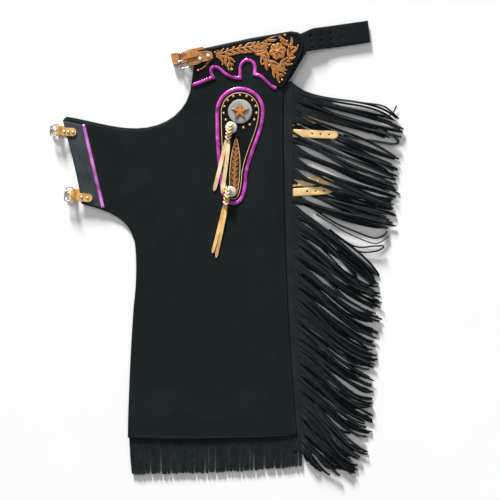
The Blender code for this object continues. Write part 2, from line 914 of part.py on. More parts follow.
def make_waist_billet():
    """The right leg's strap: out from between the legs, round under the buckle and up through it."""
    start = math.dist(BILLET_TIP, WAIST_ORIGIN)
    bar = WAIST_BAR_RUN - start
    far = bar + WAIST_DEPTH
    on_chape = WAIST_REST + WAIST_STRAP + GAP
    over_bar = WAIST_BAR_HEIGHT + WAIST_LOOP + WAIST_STRAP + GAP
    under_far = WAIST_BAR_HEIGHT - WAIST_LOOP
    low = WAIST_STRAP / 2 + 0.3
    inside = right_top(-70.0, 415.0) + GAP + WAIST_STRAP / 2
    turn = (under_far - low) / 2
    fold_at = far + 13.0  # the fold shows this far past the frame
    top = [(0.0, on_chape), (9.0, on_chape)] + eased((9.0, on_chape), (bar - 3.0, over_bar), 4)
    top += [(bar + 3.0, over_bar)] + eased((bar + 3.0, over_bar), (far - 1.5, under_far), 5)
    top += [(far + 2.0, under_far)]
    fold = arc((fold_at, low + turn), turn, 90, -90, 8)
    lower = [(bar + 10.0, low)] + eased((bar + 10.0, low), (12.0, inside), 6) + [(-14.0, inside)]
    route = top + fold + lower
    length = route_length(route)
    narrow, wide = BILLET_WIDTH / 2, BILLET_BASE_WIDTH / 2
    widen = route_length(top) - 3.0
    side = [
        (0, 2.5), (1.5, 5.2), (4.5, narrow), (widen - 4.0, narrow), (widen + 5.0, wide), (length, wide),
    ]
    hole = (bar + 4.0, bar + 17.0, 2.2)
    bent_strap(
        "right_waist_billet", side, route, BILLET_TIP, BILLET_HEADING, WAIST_STRAP, "tooled_tan", hole,
    )


def waist_point(run, across=0.0):
    along = Vector((math.cos(math.radians(WAIST_HEADING)), math.sin(math.radians(WAIST_HEADING))))
    side = Vector((-along.y, along.x))
    return Vector(WAIST_ORIGIN) + along * run + side * across


def make_waist_buckle():
    bar = waist_point(WAIST_BAR_RUN)
    ring = frame_ring(
        bar, WAIST_HEADING - 180, WAIST_BAR_HEIGHT, inner=CHAPE_WIDTH + 2, depth=WAIST_DEPTH,
        wire=WAIST_WIRE,
    )
    swept("waist_frame", ring, WAIST_WIRE, "nickel", closed=True)
    line = tongue_line(
        waist_point(WAIST_BAR_RUN, 1.0), WAIST_HEADING - 180, WAIST_BAR_HEIGHT, WAIST_DEPTH + 2.6,
        WAIST_WIRE + SEAM + 1.1,
    )
    swept("waist_tongue", line, 1.1, "nickel", sides=6)
    seat = WAIST_REST + WAIST_STRAP / 2 + SEAM
    for number, screw in enumerate(SCREWS, start=1):
        at = waist_point(screw["run"], screw["across"])
        profile = [(0, 1.5), (2.6, 1.4), (4.0, 0.7), (4.2, 0.0), (0, 0.0)]
        turned(f"waist_screw_{number}", profile, (*at, seat), "nickel", 14)


# ---------------------------------------------------------------- applique, conchos, strings

APPLIQUE_HEAD = (30.0, 304.0)  # middle of the round head
HEAD_RADIUS = 47.0
TAIL_END = (15.0, 103.0)
STAR_RADIUS = 21.0
DISC_RADIUS = 27.0
CONCHOS = [
    {"name": "upper", "at": (10.0, 268.0), "radius": 13.5},
    {"name": "lower", "at": (9.0, 124.0), "radius": 12.5},
]
CONCHO_RISE = 4.2
STRING = 2.2  # thickness of a string
KNOT_HEIGHT = 6.0
STRINGS = [  # a knot's two ends, and where its two tails end, with the width of a tail
    {
        "name": "upper", "knot": ((8.0, 276.0), (2.5, 240.0)), "width": 8.5,
        "tails": (((-3.5, 236.0), (-28.0, 126.0)), ((6.5, 236.0), (-9.0, 119.0))),
    },
    {
        "name": "lower", "knot": ((4.0, 133.0), (-2.5, 93.0)), "width": 7.0,
        "tails": (((-7.5, 90.0), (-31.5, -14.0)), ((0.5, 88.5), (-22.5, -24.0))),
    },
]


def field_outline():
    """A round head that runs down into a long rounded tail."""
    cx, cy = APPLIQUE_HEAD
    r = HEAD_RADIUS
    k = 0.552 * r
    ex, ey = TAIL_END
    return path(
        (cx, cy + r),
        ((cx - k, cy + r), (cx - r, cy + k), (cx - r, cy)),
        ((cx - r, cy - 44), (ex - 31, ey + 112), (ex - 24, ey + 62)),
        ((ex - 22, ey + 20), (ex - 16, ey), (ex, ey)),
        ((ex + 16, ey), (ex + 22, ey + 20), (ex + 24, ey + 62)),
        ((ex + 31, ey + 112), (cx + r, cy - 44), (cx + r, cy)),
        ((cx + r, cy + k), (cx + k, cy + r), (cx, cy + r)),
    )[:-1][::-1]


def leaf_outline():
    """The long tooled leaf in the tail."""
    ex, ey = TAIL_END
    return path(
        (ex + 6, ey + 150),
        ((ex - 2, ey + 118), (ex - 8, ey + 96), (ex - 9, ey + 58)),
        ((ex - 10, ey + 28), (ex - 8, ey + 12), (ex + 1, ey + 10)),
        ((ex + 9, ey + 12), (ex + 13, ey + 28), (ex + 15, ey + 58)),
        ((ex + 18, ey + 96), (ex + 14, ey + 118), (ex + 6, ey + 150)),
    )[:-1]


def star(centre, radius, points=5, waist=0.45):
    outline = []
    for i in range(2 * points):
        r = radius if i % 2 == 0 else radius * waist
        turn = math.pi / 2 + math.pi * i / points
        outline.append((centre[0] + r * math.cos(turn), centre[1] + r * math.sin(turn)))
    return outline


def on_field(x, y):
    return on_left(x, y) + OVERLAY + GAP


def make_applique():
    field = field_outline()
    layer("applique_field", field, "black_leather", on_left, OVERLAY, grid=FINE_GRID)
    turn = 1 if winding(APPLIQUE_HEAD, field) > 0 else -1
    inner = beside(field, -turn * SEAM, closed=True)
    outer = beside(field, -turn * (SEAM + BORDER_WIDTH), closed=True)
    layer("applique_border", outer, "magenta_foil", on_left, FOIL, holes=[inner], grid=FINE_GRID)
    disc = circle(APPLIQUE_HEAD, DISC_RADIUS, 32)
    layer("applique_disc", disc, "silver_leather", on_field, OVERLAY, grid=FINE_GRID)

    def on_disc(x, y):
        return on_field(x, y) + OVERLAY + GAP

    layer("applique_star", star(APPLIQUE_HEAD, STAR_RADIUS), "tooled_tan", on_disc, OVERLAY, grid=FINE_GRID)
    layer("applique_leaf", leaf_outline(), "tooled_tan", on_field, OVERLAY, grid=FINE_GRID)


def concho_seat(concho):
    seat = on_field(*concho["at"])
    return seat if concho["name"] == "upper" else seat + OVERLAY + GAP


def string_base(x, y, lift):
    """Height of a string: on the panel, the applique or a concho. lift is what lies on the applique."""
    field = field_outline()
    apart = 0.0 if winding((x, y), field) else edge_distance((x, y), field)
    on_design = OVERLAY + GAP + lift
    height = on_left(x, y) + on_design * (1 - smooth((apart - BORDER_WIDTH - 2) / 12))
    for concho in CONCHOS:
        beyond = math.dist((x, y), concho["at"]) - concho["radius"]
        height += CONCHO_RISE * (1 - smooth((beyond - 1.5) / 9))
    return height


def tapered(start, end, width_start, width_end):
    a, b = Vector(start), Vector(end)
    along = (b - a).normalized()
    side = Vector((-along.y, along.x))
    return [
        tuple(a - side * width_start / 2), tuple(b - side * width_end / 2),
        tuple(b + side * width_end / 2), tuple(a + side * width_start / 2),
    ]


def make_conchos_and_strings():
    for concho in CONCHOS:
        r = concho["radius"]
        profile = [(0, 3.6), (0.35 * r, 3.4), (0.7 * r, 2.5), (0.93 * r, 1.1), (r, 0.5), (r, 0.0), (0, 0.0)]
        at = (*concho["at"], concho_seat(concho))
        turned(f"concho_{concho['name']}", profile, at, "nickel", 24)
    for string in STRINGS:
        name, width = string["name"], string["width"]
        lift = 0.0 if name == "upper" else OVERLAY + GAP

        def base(x, y, lift=lift):
            return string_base(x, y, lift)

        knot = tapered(*string["knot"], 11.0, 12.5)
        layer(f"string_knot_{name}", knot, "string_tan", base, KNOT_HEIGHT, grid=8.0)
        for number, (start, end) in enumerate(string["tails"], start=1):
            tail = tapered(start, end, width, width)
            layer(f"string_tail_{name}_{number}", tail, "string_tan", base, STRING, grid=8.0)


def centre_on_footprint():
    """Move everything so that the origin is the middle of the footprint, on the surface."""
    points = [v.co for made in bpy.data.objects for v in made.data.vertices]
    low = [min(p[axis] for p in points) for axis in range(3)]
    high = [max(p[axis] for p in points) for axis in range(3)]
    shift = Vector((-(low[0] + high[0]) / 2, -(low[1] + high[1]) / 2, -low[2]))
    for made in bpy.data.objects:
        for v in made.data.vertices:
            v.co += shift


def main():
    for old in list(bpy.data.objects):
        bpy.data.objects.remove(old, do_unlink=True)
    make_panels()
    make_yokes()
    make_thigh_band()
    make_belts()
    make_side_fringes()
    make_hem_fringes()
    make_billets()
    for spec in THIGH_BUCKLES:
        for leg in ("right", "left"):
            make_thigh_buckle(spec, leg)
    make_waist_chape()
    make_waist_billet()
    make_waist_buckle()
    make_applique()
    make_conchos_and_strings()
    centre_on_footprint()


main()
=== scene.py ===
"""Looks for the leather chaps: creased leather, cut fringe, carved overlay, foil, metal and string.

Lengths are in millimetres and are turned into metres where a mesh is made. Every mesh is built in the CAD
frame, so its object stays at the origin.
"""

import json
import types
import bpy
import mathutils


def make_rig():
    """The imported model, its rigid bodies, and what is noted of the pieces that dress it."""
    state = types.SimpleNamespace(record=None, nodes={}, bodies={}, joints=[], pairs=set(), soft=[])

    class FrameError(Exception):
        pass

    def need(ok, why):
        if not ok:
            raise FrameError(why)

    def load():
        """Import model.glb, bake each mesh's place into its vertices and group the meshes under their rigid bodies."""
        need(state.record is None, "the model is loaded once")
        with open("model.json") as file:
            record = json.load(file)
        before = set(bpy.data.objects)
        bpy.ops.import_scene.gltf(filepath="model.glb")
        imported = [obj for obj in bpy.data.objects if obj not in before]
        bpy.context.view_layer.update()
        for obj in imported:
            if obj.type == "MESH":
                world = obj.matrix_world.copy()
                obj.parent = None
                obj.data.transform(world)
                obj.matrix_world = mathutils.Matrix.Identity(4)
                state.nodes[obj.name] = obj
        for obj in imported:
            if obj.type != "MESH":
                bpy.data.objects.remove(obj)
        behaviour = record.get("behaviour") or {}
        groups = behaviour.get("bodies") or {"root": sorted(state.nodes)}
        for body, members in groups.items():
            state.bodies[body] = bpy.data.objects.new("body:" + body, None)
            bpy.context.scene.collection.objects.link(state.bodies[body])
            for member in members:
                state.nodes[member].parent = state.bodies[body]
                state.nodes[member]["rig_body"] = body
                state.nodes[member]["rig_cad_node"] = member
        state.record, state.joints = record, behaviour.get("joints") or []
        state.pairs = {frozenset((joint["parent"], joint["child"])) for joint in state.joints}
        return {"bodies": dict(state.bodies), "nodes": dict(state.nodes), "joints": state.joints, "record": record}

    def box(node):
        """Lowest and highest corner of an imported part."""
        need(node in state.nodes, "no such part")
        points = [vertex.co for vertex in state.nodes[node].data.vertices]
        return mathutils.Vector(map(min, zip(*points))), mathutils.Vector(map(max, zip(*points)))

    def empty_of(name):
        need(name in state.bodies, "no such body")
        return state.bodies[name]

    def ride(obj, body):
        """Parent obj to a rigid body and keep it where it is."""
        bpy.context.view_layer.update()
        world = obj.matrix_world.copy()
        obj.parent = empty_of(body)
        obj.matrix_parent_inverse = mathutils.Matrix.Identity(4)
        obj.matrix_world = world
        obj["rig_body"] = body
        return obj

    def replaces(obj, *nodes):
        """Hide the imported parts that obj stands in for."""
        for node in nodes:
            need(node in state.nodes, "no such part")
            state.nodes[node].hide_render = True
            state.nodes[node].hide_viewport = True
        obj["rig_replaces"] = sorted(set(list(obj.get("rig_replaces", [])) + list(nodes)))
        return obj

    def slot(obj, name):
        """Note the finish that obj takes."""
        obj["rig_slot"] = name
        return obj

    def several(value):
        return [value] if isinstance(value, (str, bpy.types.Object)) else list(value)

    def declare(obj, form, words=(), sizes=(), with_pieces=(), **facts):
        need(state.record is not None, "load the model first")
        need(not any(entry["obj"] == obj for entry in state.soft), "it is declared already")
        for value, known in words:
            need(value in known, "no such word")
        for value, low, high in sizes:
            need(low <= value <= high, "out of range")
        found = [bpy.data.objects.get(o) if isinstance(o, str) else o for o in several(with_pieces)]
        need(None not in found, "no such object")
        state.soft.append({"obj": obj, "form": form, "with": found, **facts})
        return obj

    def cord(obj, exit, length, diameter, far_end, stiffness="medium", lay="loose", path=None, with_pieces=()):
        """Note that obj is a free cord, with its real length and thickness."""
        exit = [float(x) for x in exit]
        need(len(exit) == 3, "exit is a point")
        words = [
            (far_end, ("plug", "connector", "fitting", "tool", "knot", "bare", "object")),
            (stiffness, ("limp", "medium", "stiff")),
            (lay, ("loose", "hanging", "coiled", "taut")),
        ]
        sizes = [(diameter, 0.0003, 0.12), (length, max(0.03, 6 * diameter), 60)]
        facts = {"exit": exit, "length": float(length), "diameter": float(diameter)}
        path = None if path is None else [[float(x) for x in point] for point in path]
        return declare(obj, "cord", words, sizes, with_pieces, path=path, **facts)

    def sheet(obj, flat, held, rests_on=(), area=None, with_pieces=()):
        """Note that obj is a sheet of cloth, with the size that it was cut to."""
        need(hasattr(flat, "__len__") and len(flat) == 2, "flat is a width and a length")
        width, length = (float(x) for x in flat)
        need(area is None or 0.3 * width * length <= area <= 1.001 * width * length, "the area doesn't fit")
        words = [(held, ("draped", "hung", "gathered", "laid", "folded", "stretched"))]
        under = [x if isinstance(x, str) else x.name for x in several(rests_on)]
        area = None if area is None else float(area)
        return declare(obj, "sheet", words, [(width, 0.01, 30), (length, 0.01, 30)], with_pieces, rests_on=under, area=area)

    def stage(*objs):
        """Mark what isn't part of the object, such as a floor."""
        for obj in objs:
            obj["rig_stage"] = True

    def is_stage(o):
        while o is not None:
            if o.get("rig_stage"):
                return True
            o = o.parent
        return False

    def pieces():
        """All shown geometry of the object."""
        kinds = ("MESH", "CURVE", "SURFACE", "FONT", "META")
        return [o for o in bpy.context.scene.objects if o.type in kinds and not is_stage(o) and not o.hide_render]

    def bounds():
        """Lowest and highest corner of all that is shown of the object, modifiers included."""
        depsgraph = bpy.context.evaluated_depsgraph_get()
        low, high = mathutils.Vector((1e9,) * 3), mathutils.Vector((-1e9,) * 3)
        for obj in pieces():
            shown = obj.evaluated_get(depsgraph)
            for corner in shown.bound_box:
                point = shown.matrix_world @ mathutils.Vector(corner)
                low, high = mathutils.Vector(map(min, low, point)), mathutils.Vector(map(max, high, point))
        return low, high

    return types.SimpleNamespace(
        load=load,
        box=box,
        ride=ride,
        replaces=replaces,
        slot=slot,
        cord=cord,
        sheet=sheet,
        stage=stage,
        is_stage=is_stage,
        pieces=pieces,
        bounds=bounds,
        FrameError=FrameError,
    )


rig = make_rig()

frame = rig.load()

import json
import math
import random

import bmesh
import bpy
import numpy as np
from mathutils import Vector
from mathutils.bvhtree import BVHTree
from mathutils.geometry import delaunay_2d_cdt, interpolate_bezier, intersect_point_line

CAD_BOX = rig.bounds()
MM = 0.001

# Sizes that part.py also uses
LEATHER = 1.8
TRIM = 1.6
FOIL = 1.2
OVERLAY = 1.4
STRAP = 1.8
BELT = 3
GAP = 0.5

# The camera looks straight down on a field this wide
VIEW_WIDTH = 1125
VIEW_CENTRE = (52, -6.75)
CAMERA_HEIGHT = 2812.5


# ---- numbers and curves


def smooth(t):
    t = min(1, max(0, t))
    return t * t * (3 - 2 * t)


def blend(a, b, k):
    return a * (1 - k) + b * k


def fractions(steps):
    return [i / steps for i in range(steps + 1)]


def direction(degrees):
    return Vector((math.cos(math.radians(degrees)), math.sin(math.radians(degrees))))


def catmull(points, steps):
    """A smooth curve through the points."""
    last = len(points) - 1
    made = []
    for i in range(last):
        near = [points[min(last, max(0, i + k))] for k in (-1, 0, 1, 2)]
        for t in fractions(steps)[:-1]:
            weights = (2 * t * t - t - t**3, 2 - 5 * t * t + 3 * t**3, t + 4 * t * t - 3 * t**3, t**3 - t * t)
            made.append(tuple(0.5 * sum(w * c for w, c in zip(weights, axis)) for axis in zip(*near)))
    return made + [points[-1]]


def around(loop):
    """The sides of a closed loop, as pairs of points."""
    return list(zip(loop, loop[1:] + loop[:1]))


def runs(line, closed=False):
    """(point, unit vector along the line) pairs at a line's points."""
    befores = (line[-1:] if closed else line[:1]) + line[:-1]
    afters = line[1:] + (line[:1] if closed else line[-1:])
    for before, here, after in zip(befores, line, afters):
        yield Vector(here), (Vector(after) - Vector(before)).normalized()


def length_of(line):
    return sum(math.dist(a, b) for a, b in zip(line, line[1:]))


def divided(loop, longest):
    """The loop with points added, so that no side is longer than longest."""
    points = []
    for a, b in around(loop):
        count = max(1, math.ceil(math.dist(a, b) / longest))
        points += [tuple(Vector(a).lerp(Vector(b), i / count)) for i in range(count)]
    return points


def spaced(line, pitch):
    """(point, direction) pairs at equal distances along an open line."""
    total = length_of(line)
    count = max(1, round(total / pitch))
    made, travelled, wanted = [], 0, 0.5 * total / count
    for a, b in zip(line, line[1:]):
        step = math.dist(a, b)
        while step > 0 and wanted <= travelled + step:
            along = (Vector(b) - Vector(a)) / step
            made.append((Vector(a) + along * (wanted - travelled), along))
            wanted += total / count
        travelled += step
    return made


def apart(these, those):
    """Distances between two lists of plane points."""
    return np.linalg.norm(np.array(these)[:, None] - np.array(those)[None], axis=2)


def beside(x, y, start, end):
    """How far along a segment a place is, from 0 to 1, and its distance from the segment's line."""
    on_line, along = intersect_point_line((x, y), start, end)
    return along, math.dist((x, y), on_line[:2])


class Region:
    """The area between closed loops in the plane, with quick distances to its edge."""

    def __init__(self, loops):
        self.sides = [side for loop in loops for side in around(loop)]
        corners = [(*p, z) for a, b in self.sides for p, z in ((a, -1), (b, -1), (b, 1), (a, 1))]
        walls = [tuple(range(4 * i, 4 * i + 4)) for i in range(len(self.sides))]
        self.tree = BVHTree.FromPolygons(corners, walls)

    def distance(self, points):
        return np.array([self.tree.find_nearest((x, y, 0))[3] for x, y in points])

    def inside(self, points):
        x, y = np.asarray(points, dtype=float).T
        odd = np.zeros(len(x), dtype=bool)
        for a, b in self.sides:
            if a[1] != b[1]:
                crosses = (a[1] <= y) != (b[1] <= y)
                odd ^= crosses & (a[0] + (y - a[1]) * (b[0] - a[0]) / (b[1] - a[1]) > x)
        return odd


# ---- what the CAD says


def cad_outline(node):
    """The loops round a flat node's upper face, the longest first, in millimetres."""
    mesh = frame["nodes"][node].data
    corner = [tuple(round(c / MM, 2) for c in v.co) for v in mesh.vertices]
    edges = set()
    for face in mesh.polygons:
        if face.normal.z > 0.3:
            edges |= set(around([corner[i] for i in face.vertices]))
    following = {a: b for a, b in edges if (b, a) not in edges}
    loops = []
    while following:
        start, here = following.popitem()
        loop = [start[:2]]
        while here != start:
            loop.append(here[:2])
            here = following.pop(here)
        loops.append(loop)
    return sorted(loops, key=lambda loop: -length_of(loop + loop[:1]))


def inset_line(node, inset):
    """The node's outline moved inwards."""
    loop = cad_outline(node)[0]
    region = Region([loop])
    made = []
    for here, along in runs(loop, closed=True):
        side = along.orthogonal() * inset
        choices = [tuple(here + side), tuple(here - side)]
        made += [p for p in choices if region.inside([p])[0] and region.distance([p])[0] > 0.8 * inset][:1]
    return made


def cad_top(node):
    """The height field of a CAD node's upper face."""
    mesh = frame["nodes"][node].data
    corners = [v.co / MM for v in mesh.vertices]
    tree = BVHTree.FromPolygons(corners, [tuple(face.vertices) for face in mesh.polygons])

    def top(x, y):
        above = Vector((x, y, 100))
        hit = tree.ray_cast(above, Vector((0, 0, -1)))[0]
        return (hit or tree.find_nearest(above)[0]).z

    return top


def flat_size(node):
    """The flat size and area of a piece cut to a node's outline, in metres."""
    outline = cad_outline(node)[0]
    area = abs(sum(a[0] * b[1] - a[1] * b[0] for a, b in around(outline))) / 2
    return {"flat": [c * MM for c in np.ptp(outline, axis=0)], "area": area * MM * MM}


# ---- how the stack lies, as in part.py

SEAM_TOP = 342
HEM_Y = -421
CENTRING = 0.29  # part.py moves the model this far towards -X to centre it
HEADERS = 2 * (TRIM + GAP)
BILLET_ROOM = STRAP + GAP
BELT_ROOM = 2 * (BELT + GAP) - HEADERS - BILLET_ROOM
FRONT_ROOM = 2 + 1.5 * GAP


def seam_x(y):
    """Where the side seam is at a height y."""
    down = max(0, (SEAM_TOP - y) / (SEAM_TOP - HEM_Y))
    return 126 - CENTRING + 31 * down**2.2


def right_top(x, y):
    """Top of the right panel, which rises over its own yoke and its thigh chapes."""
    return (TRIM + GAP) * smooth((y - 285) / 70) + (STRAP + GAP + 0.2) * smooth((-225 - x) / 65) + LEATHER


def between(x, y):
    """Room between the two panels for what is sewn between them."""
    side = smooth((x - seam_x(y) + 105) / 90)
    hem = smooth((-300 - y) / 105)
    front = smooth(-x / 60) * smooth((y - 350) / 55)
    at_side = HEADERS + BILLET_ROOM * smooth(y / 90) + BELT_ROOM * smooth((y - 350) / 70)
    return at_side * side + HEADERS * hem * (1 - side) + FRONT_ROOM * front


def left_top(x, y):
    return right_top(x, y) + GAP + between(x, y) + LEATHER


CREASES = [  # a soft ridge or valley in the left panel: its two ends, half width and height
    ((-332, 238), (-318, 160), 9, 0.9),
    ((-343, 245), (-331, 190), 7, -0.6),
    ((-300, 262), (-210, 215), 22, 0.7),
    ((-255, 95), (-180, 150), 20, 0.8),
    ((-195, -20), (-120, 40), 24, 0.9),
    ((-90, 330), (-40, 250), 20, 0.8),
    ((-70, 150), (-100, -60), 30, 0.7),
    ((90, 60), (110, -180), 26, 0.7),
    ((-20, -150), (-40, -380), 34, 0.8),
    ((-170, -260), (-150, -400), 22, -0.5),
    ((60, -240), (80, -410), 24, 0.6),
]


def leg_top(x, y):
    """Top of the left panel with its creases."""
    height = left_top(x, y)
    for start, end, width, rise in CREASES:
        t, off = beside(x, y, start, end)
        if -0.3 < t < 1.3 and off < 3 * width:
            fade = smooth((t + 0.3) / 0.4) * smooth((1.3 - t) / 0.4)
            height += rise * fade * math.exp(-((off / width) ** 2))
    return height


def on_leg(lift):
    """The height field of a layer whose top is lift above the left panel."""
    return lambda x, y: leg_top(x, y) + lift


# ---- materials


class Shader:
    """A Principled material and short calls that add nodes to it."""

    def __init__(self, name, roughness, metallic=0, **sockets):
        self.material = bpy.data.materials.new(name)
        self.material.use_nodes = True
        self.tree = self.material.node_tree
        self.shader = self.tree.nodes["Principled BSDF"]
        for socket, value in {"Roughness": roughness, "Metallic": metallic, **sockets}.items():
            self.shader.inputs[socket.replace("_", " ")].default_value = value
        self.place = self.tree.nodes.new("ShaderNodeTexCoord").outputs["Object"]
        self.normal = None

    def node(self, kind, inputs, **settings):
        made = self.tree.nodes.new("ShaderNode" + kind)
        for key, value in settings.items():
            setattr(made, key, value)
        for key, value in inputs.items():
            if hasattr(value, "links"):
                self.tree.links.new(value, made.inputs[key])
            else:
                made.inputs[key].default_value = value
        return made

    def noise(self, size, detail=2, distortion=0):
        """Noise whose features are about size millimetres across."""
        inputs = {"Vector": self.place, "Scale": 1000 / size, "Detail": detail, "Distortion": distortion}
        return self.node("TexNoise", inputs).outputs["Fac"]

    def ramp(self, value, stops):
        made = self.node("ValToRGB", {"Fac": value})
        elements = made.color_ramp.elements
        while len(elements) < len(stops):
            elements.new(0.5)
        for element, (at, colour) in zip(elements, stops):
            element.position = at
            element.color = (*colour, 1)
        return made.outputs["Color"]

    def grey(self, value, low, high, start, end):
        inputs = {"Value": value, "From Min": start, "From Max": end, "To Min": low, "To Max": high}
        return self.node("MapRange", inputs).outputs["Result"]

    def tint(self, factor, under, colour):
        """The colour laid over what is under it."""
        return self.node("Mix", {"Factor": factor, 6: under, 7: (*colour, 1)}, data_type="RGBA").outputs[2]

    def colour(self, value):
        self.tree.links.new(value, self.shader.inputs["Base Color"])

    def rough(self, value, low, high, end=0.7):
        self.tree.links.new(self.grey(value, low, high, 0.3, end), self.shader.inputs["Roughness"])

    def bump(self, value, depth):
        """Adds a bump of depth millimetres to those already there."""
        inputs = {"Height": value, "Distance": depth * MM}
        if self.normal:
            inputs["Normal"] = self.normal
        self.normal = self.node("Bump", inputs).outputs["Normal"]
        self.tree.links.new(self.normal, self.shader.inputs["Normal"])


def linked(name, data):
    """A new object in the scene."""
    made = bpy.data.objects.new(name, data)
    bpy.context.scene.collection.objects.link(made)
    return made


def scaled(colour, factor):
    return tuple(min(1, c * factor) for c in colour)


def grain_leather(name, colour, roughness=0.5, grain=1.1, depth=0.05, mottle=0.25, coat=0):
    """Pebbled leather: cells and fine noise for the grain, slow mottling for the tone."""
    s = Shader(name, roughness, Specular_IOR_Level=0.1, Coat_Weight=coat, Coat_Roughness=0.35)
    fine = s.noise(3, 3)
    tone = s.ramp(s.noise(45, 3), [(0.3, scaled(colour, 1 - mottle)), (0.7, scaled(colour, 1 + mottle))])
    s.colour(s.tint(s.grey(fine, 0, 0.35, 0.35, 0.75), tone, scaled(colour, 1.35)))
    s.rough(fine, roughness - 0.08, roughness + 0.1)
    cells = s.node("TexVoronoi", {"Vector": s.place, "Scale": 1000 / grain})
    s.bump(cells.outputs["Distance"], depth)
    s.bump(s.noise(grain * 0.5), depth * 0.6)
    return s.material


def strip_leather(name, colour, roughness=0.66):
    """Cut fringe: smooth, with long slow changes of tone from strip to strip."""
    s = Shader(name, roughness, Specular_IOR_Level=0.15)
    s.colour(s.ramp(s.noise(9), [(0.3, scaled(colour, 0.7)), (0.72, scaled(colour, 1.45))]))
    s.rough(s.noise(4), roughness - 0.1, roughness + 0.1)
    s.bump(s.noise(1.1, 3), 0.06)
    return s.material


def foil_leather(name, colour):
    """Metallic foil on leather: bumpy crinkles under broad bands of painted shade and painted highlight in its colour.
    """
    s = Shader(name, 0.26, 0.45, Coat_Weight=0.3, Coat_Roughness=0.15)
    # slow noise paints broad bands into the foil's colour: painted shade in dark magenta, painted highlight in pale
    # pink
    painted_light_bands = s.noise(26, 2, 0.6)
    painted_highlight = (0.95, 0.42, 0.86)
    shade_and_highlight_stops = [(0.32, scaled(colour, 0.5)), (0.46, colour), (0.6, scaled(colour, 1.3)), (0.7, painted_highlight)]
    s.colour(s.ramp(painted_light_bands, shade_and_highlight_stops))
    s.rough(painted_light_bands, 0.16, 0.4)
    s.bump(s.noise(12, 2, 0.6), 0.3)
    s.bump(s.noise(0.8), 0.02)
    return s.material


def tan_leather(name, colour, dark, roughness=0.42, depth=0.12, coat=0.25):
    """Vegetable-tanned leather with a darker antique finish in the low places."""
    s = Shader(name, roughness, Coat_Weight=coat, Coat_Roughness=0.25)
    fine = s.noise(1.2, 3)
    tone = s.ramp(s.noise(14, 3), [(0.28, dark), (0.5, colour), (0.75, scaled(colour, 1.3))])
    s.colour(s.tint(s.grey(fine, 0, 0.5, 0.5, 0.8), tone, scaled(dark, 0.8)))
    s.rough(fine, roughness - 0.08, roughness + 0.12)
    s.bump(fine, depth)
    return s.material


def carved_leather(name, colour, dark):
    """Tooled leather, from the tone attribute: dark antique finish with painted shade in the cuts, orange-tan with a
    painted highlight on the crests.
    """
    s = Shader(name, 0.4, Coat_Weight=0.3, Coat_Roughness=0.25)
    tone = s.node("Attribute", {}, attribute_name="tone").outputs["Fac"]
    uneven = s.grey(s.noise(3, 3), -0.18, 0.18, 0.3, 0.7)
    total = s.node("Math", {0: tone, 1: uneven}, operation="ADD").outputs[0]
    # darkest stop: antique finish with painted shade in the cuts; brightest stop, over the tan: painted highlight on
    # the crests
    shade_and_highlight_stops = [(0.12, dark), (0.42, scaled(colour, 0.6)), (0.78, colour), (1, scaled(colour, 1.35))]
    s.colour(s.ramp(total, shade_and_highlight_stops))
    s.rough(s.noise(2), 0.32, 0.52)
    s.bump(s.noise(0.8), 0.08)
    return s.material


def silver_metal(name, colour, roughness, metallic):
    s = Shader(name, roughness, metallic)
    wear = s.noise(3, 3)
    s.colour(s.ramp(wear, [(0.3, scaled(colour, 0.8)), (0.7, colour)]))
    s.rough(wear, roughness - 0.06, roughness + 0.14, 0.75)
    s.bump(s.noise(0.5), 0.02)
    return s.material


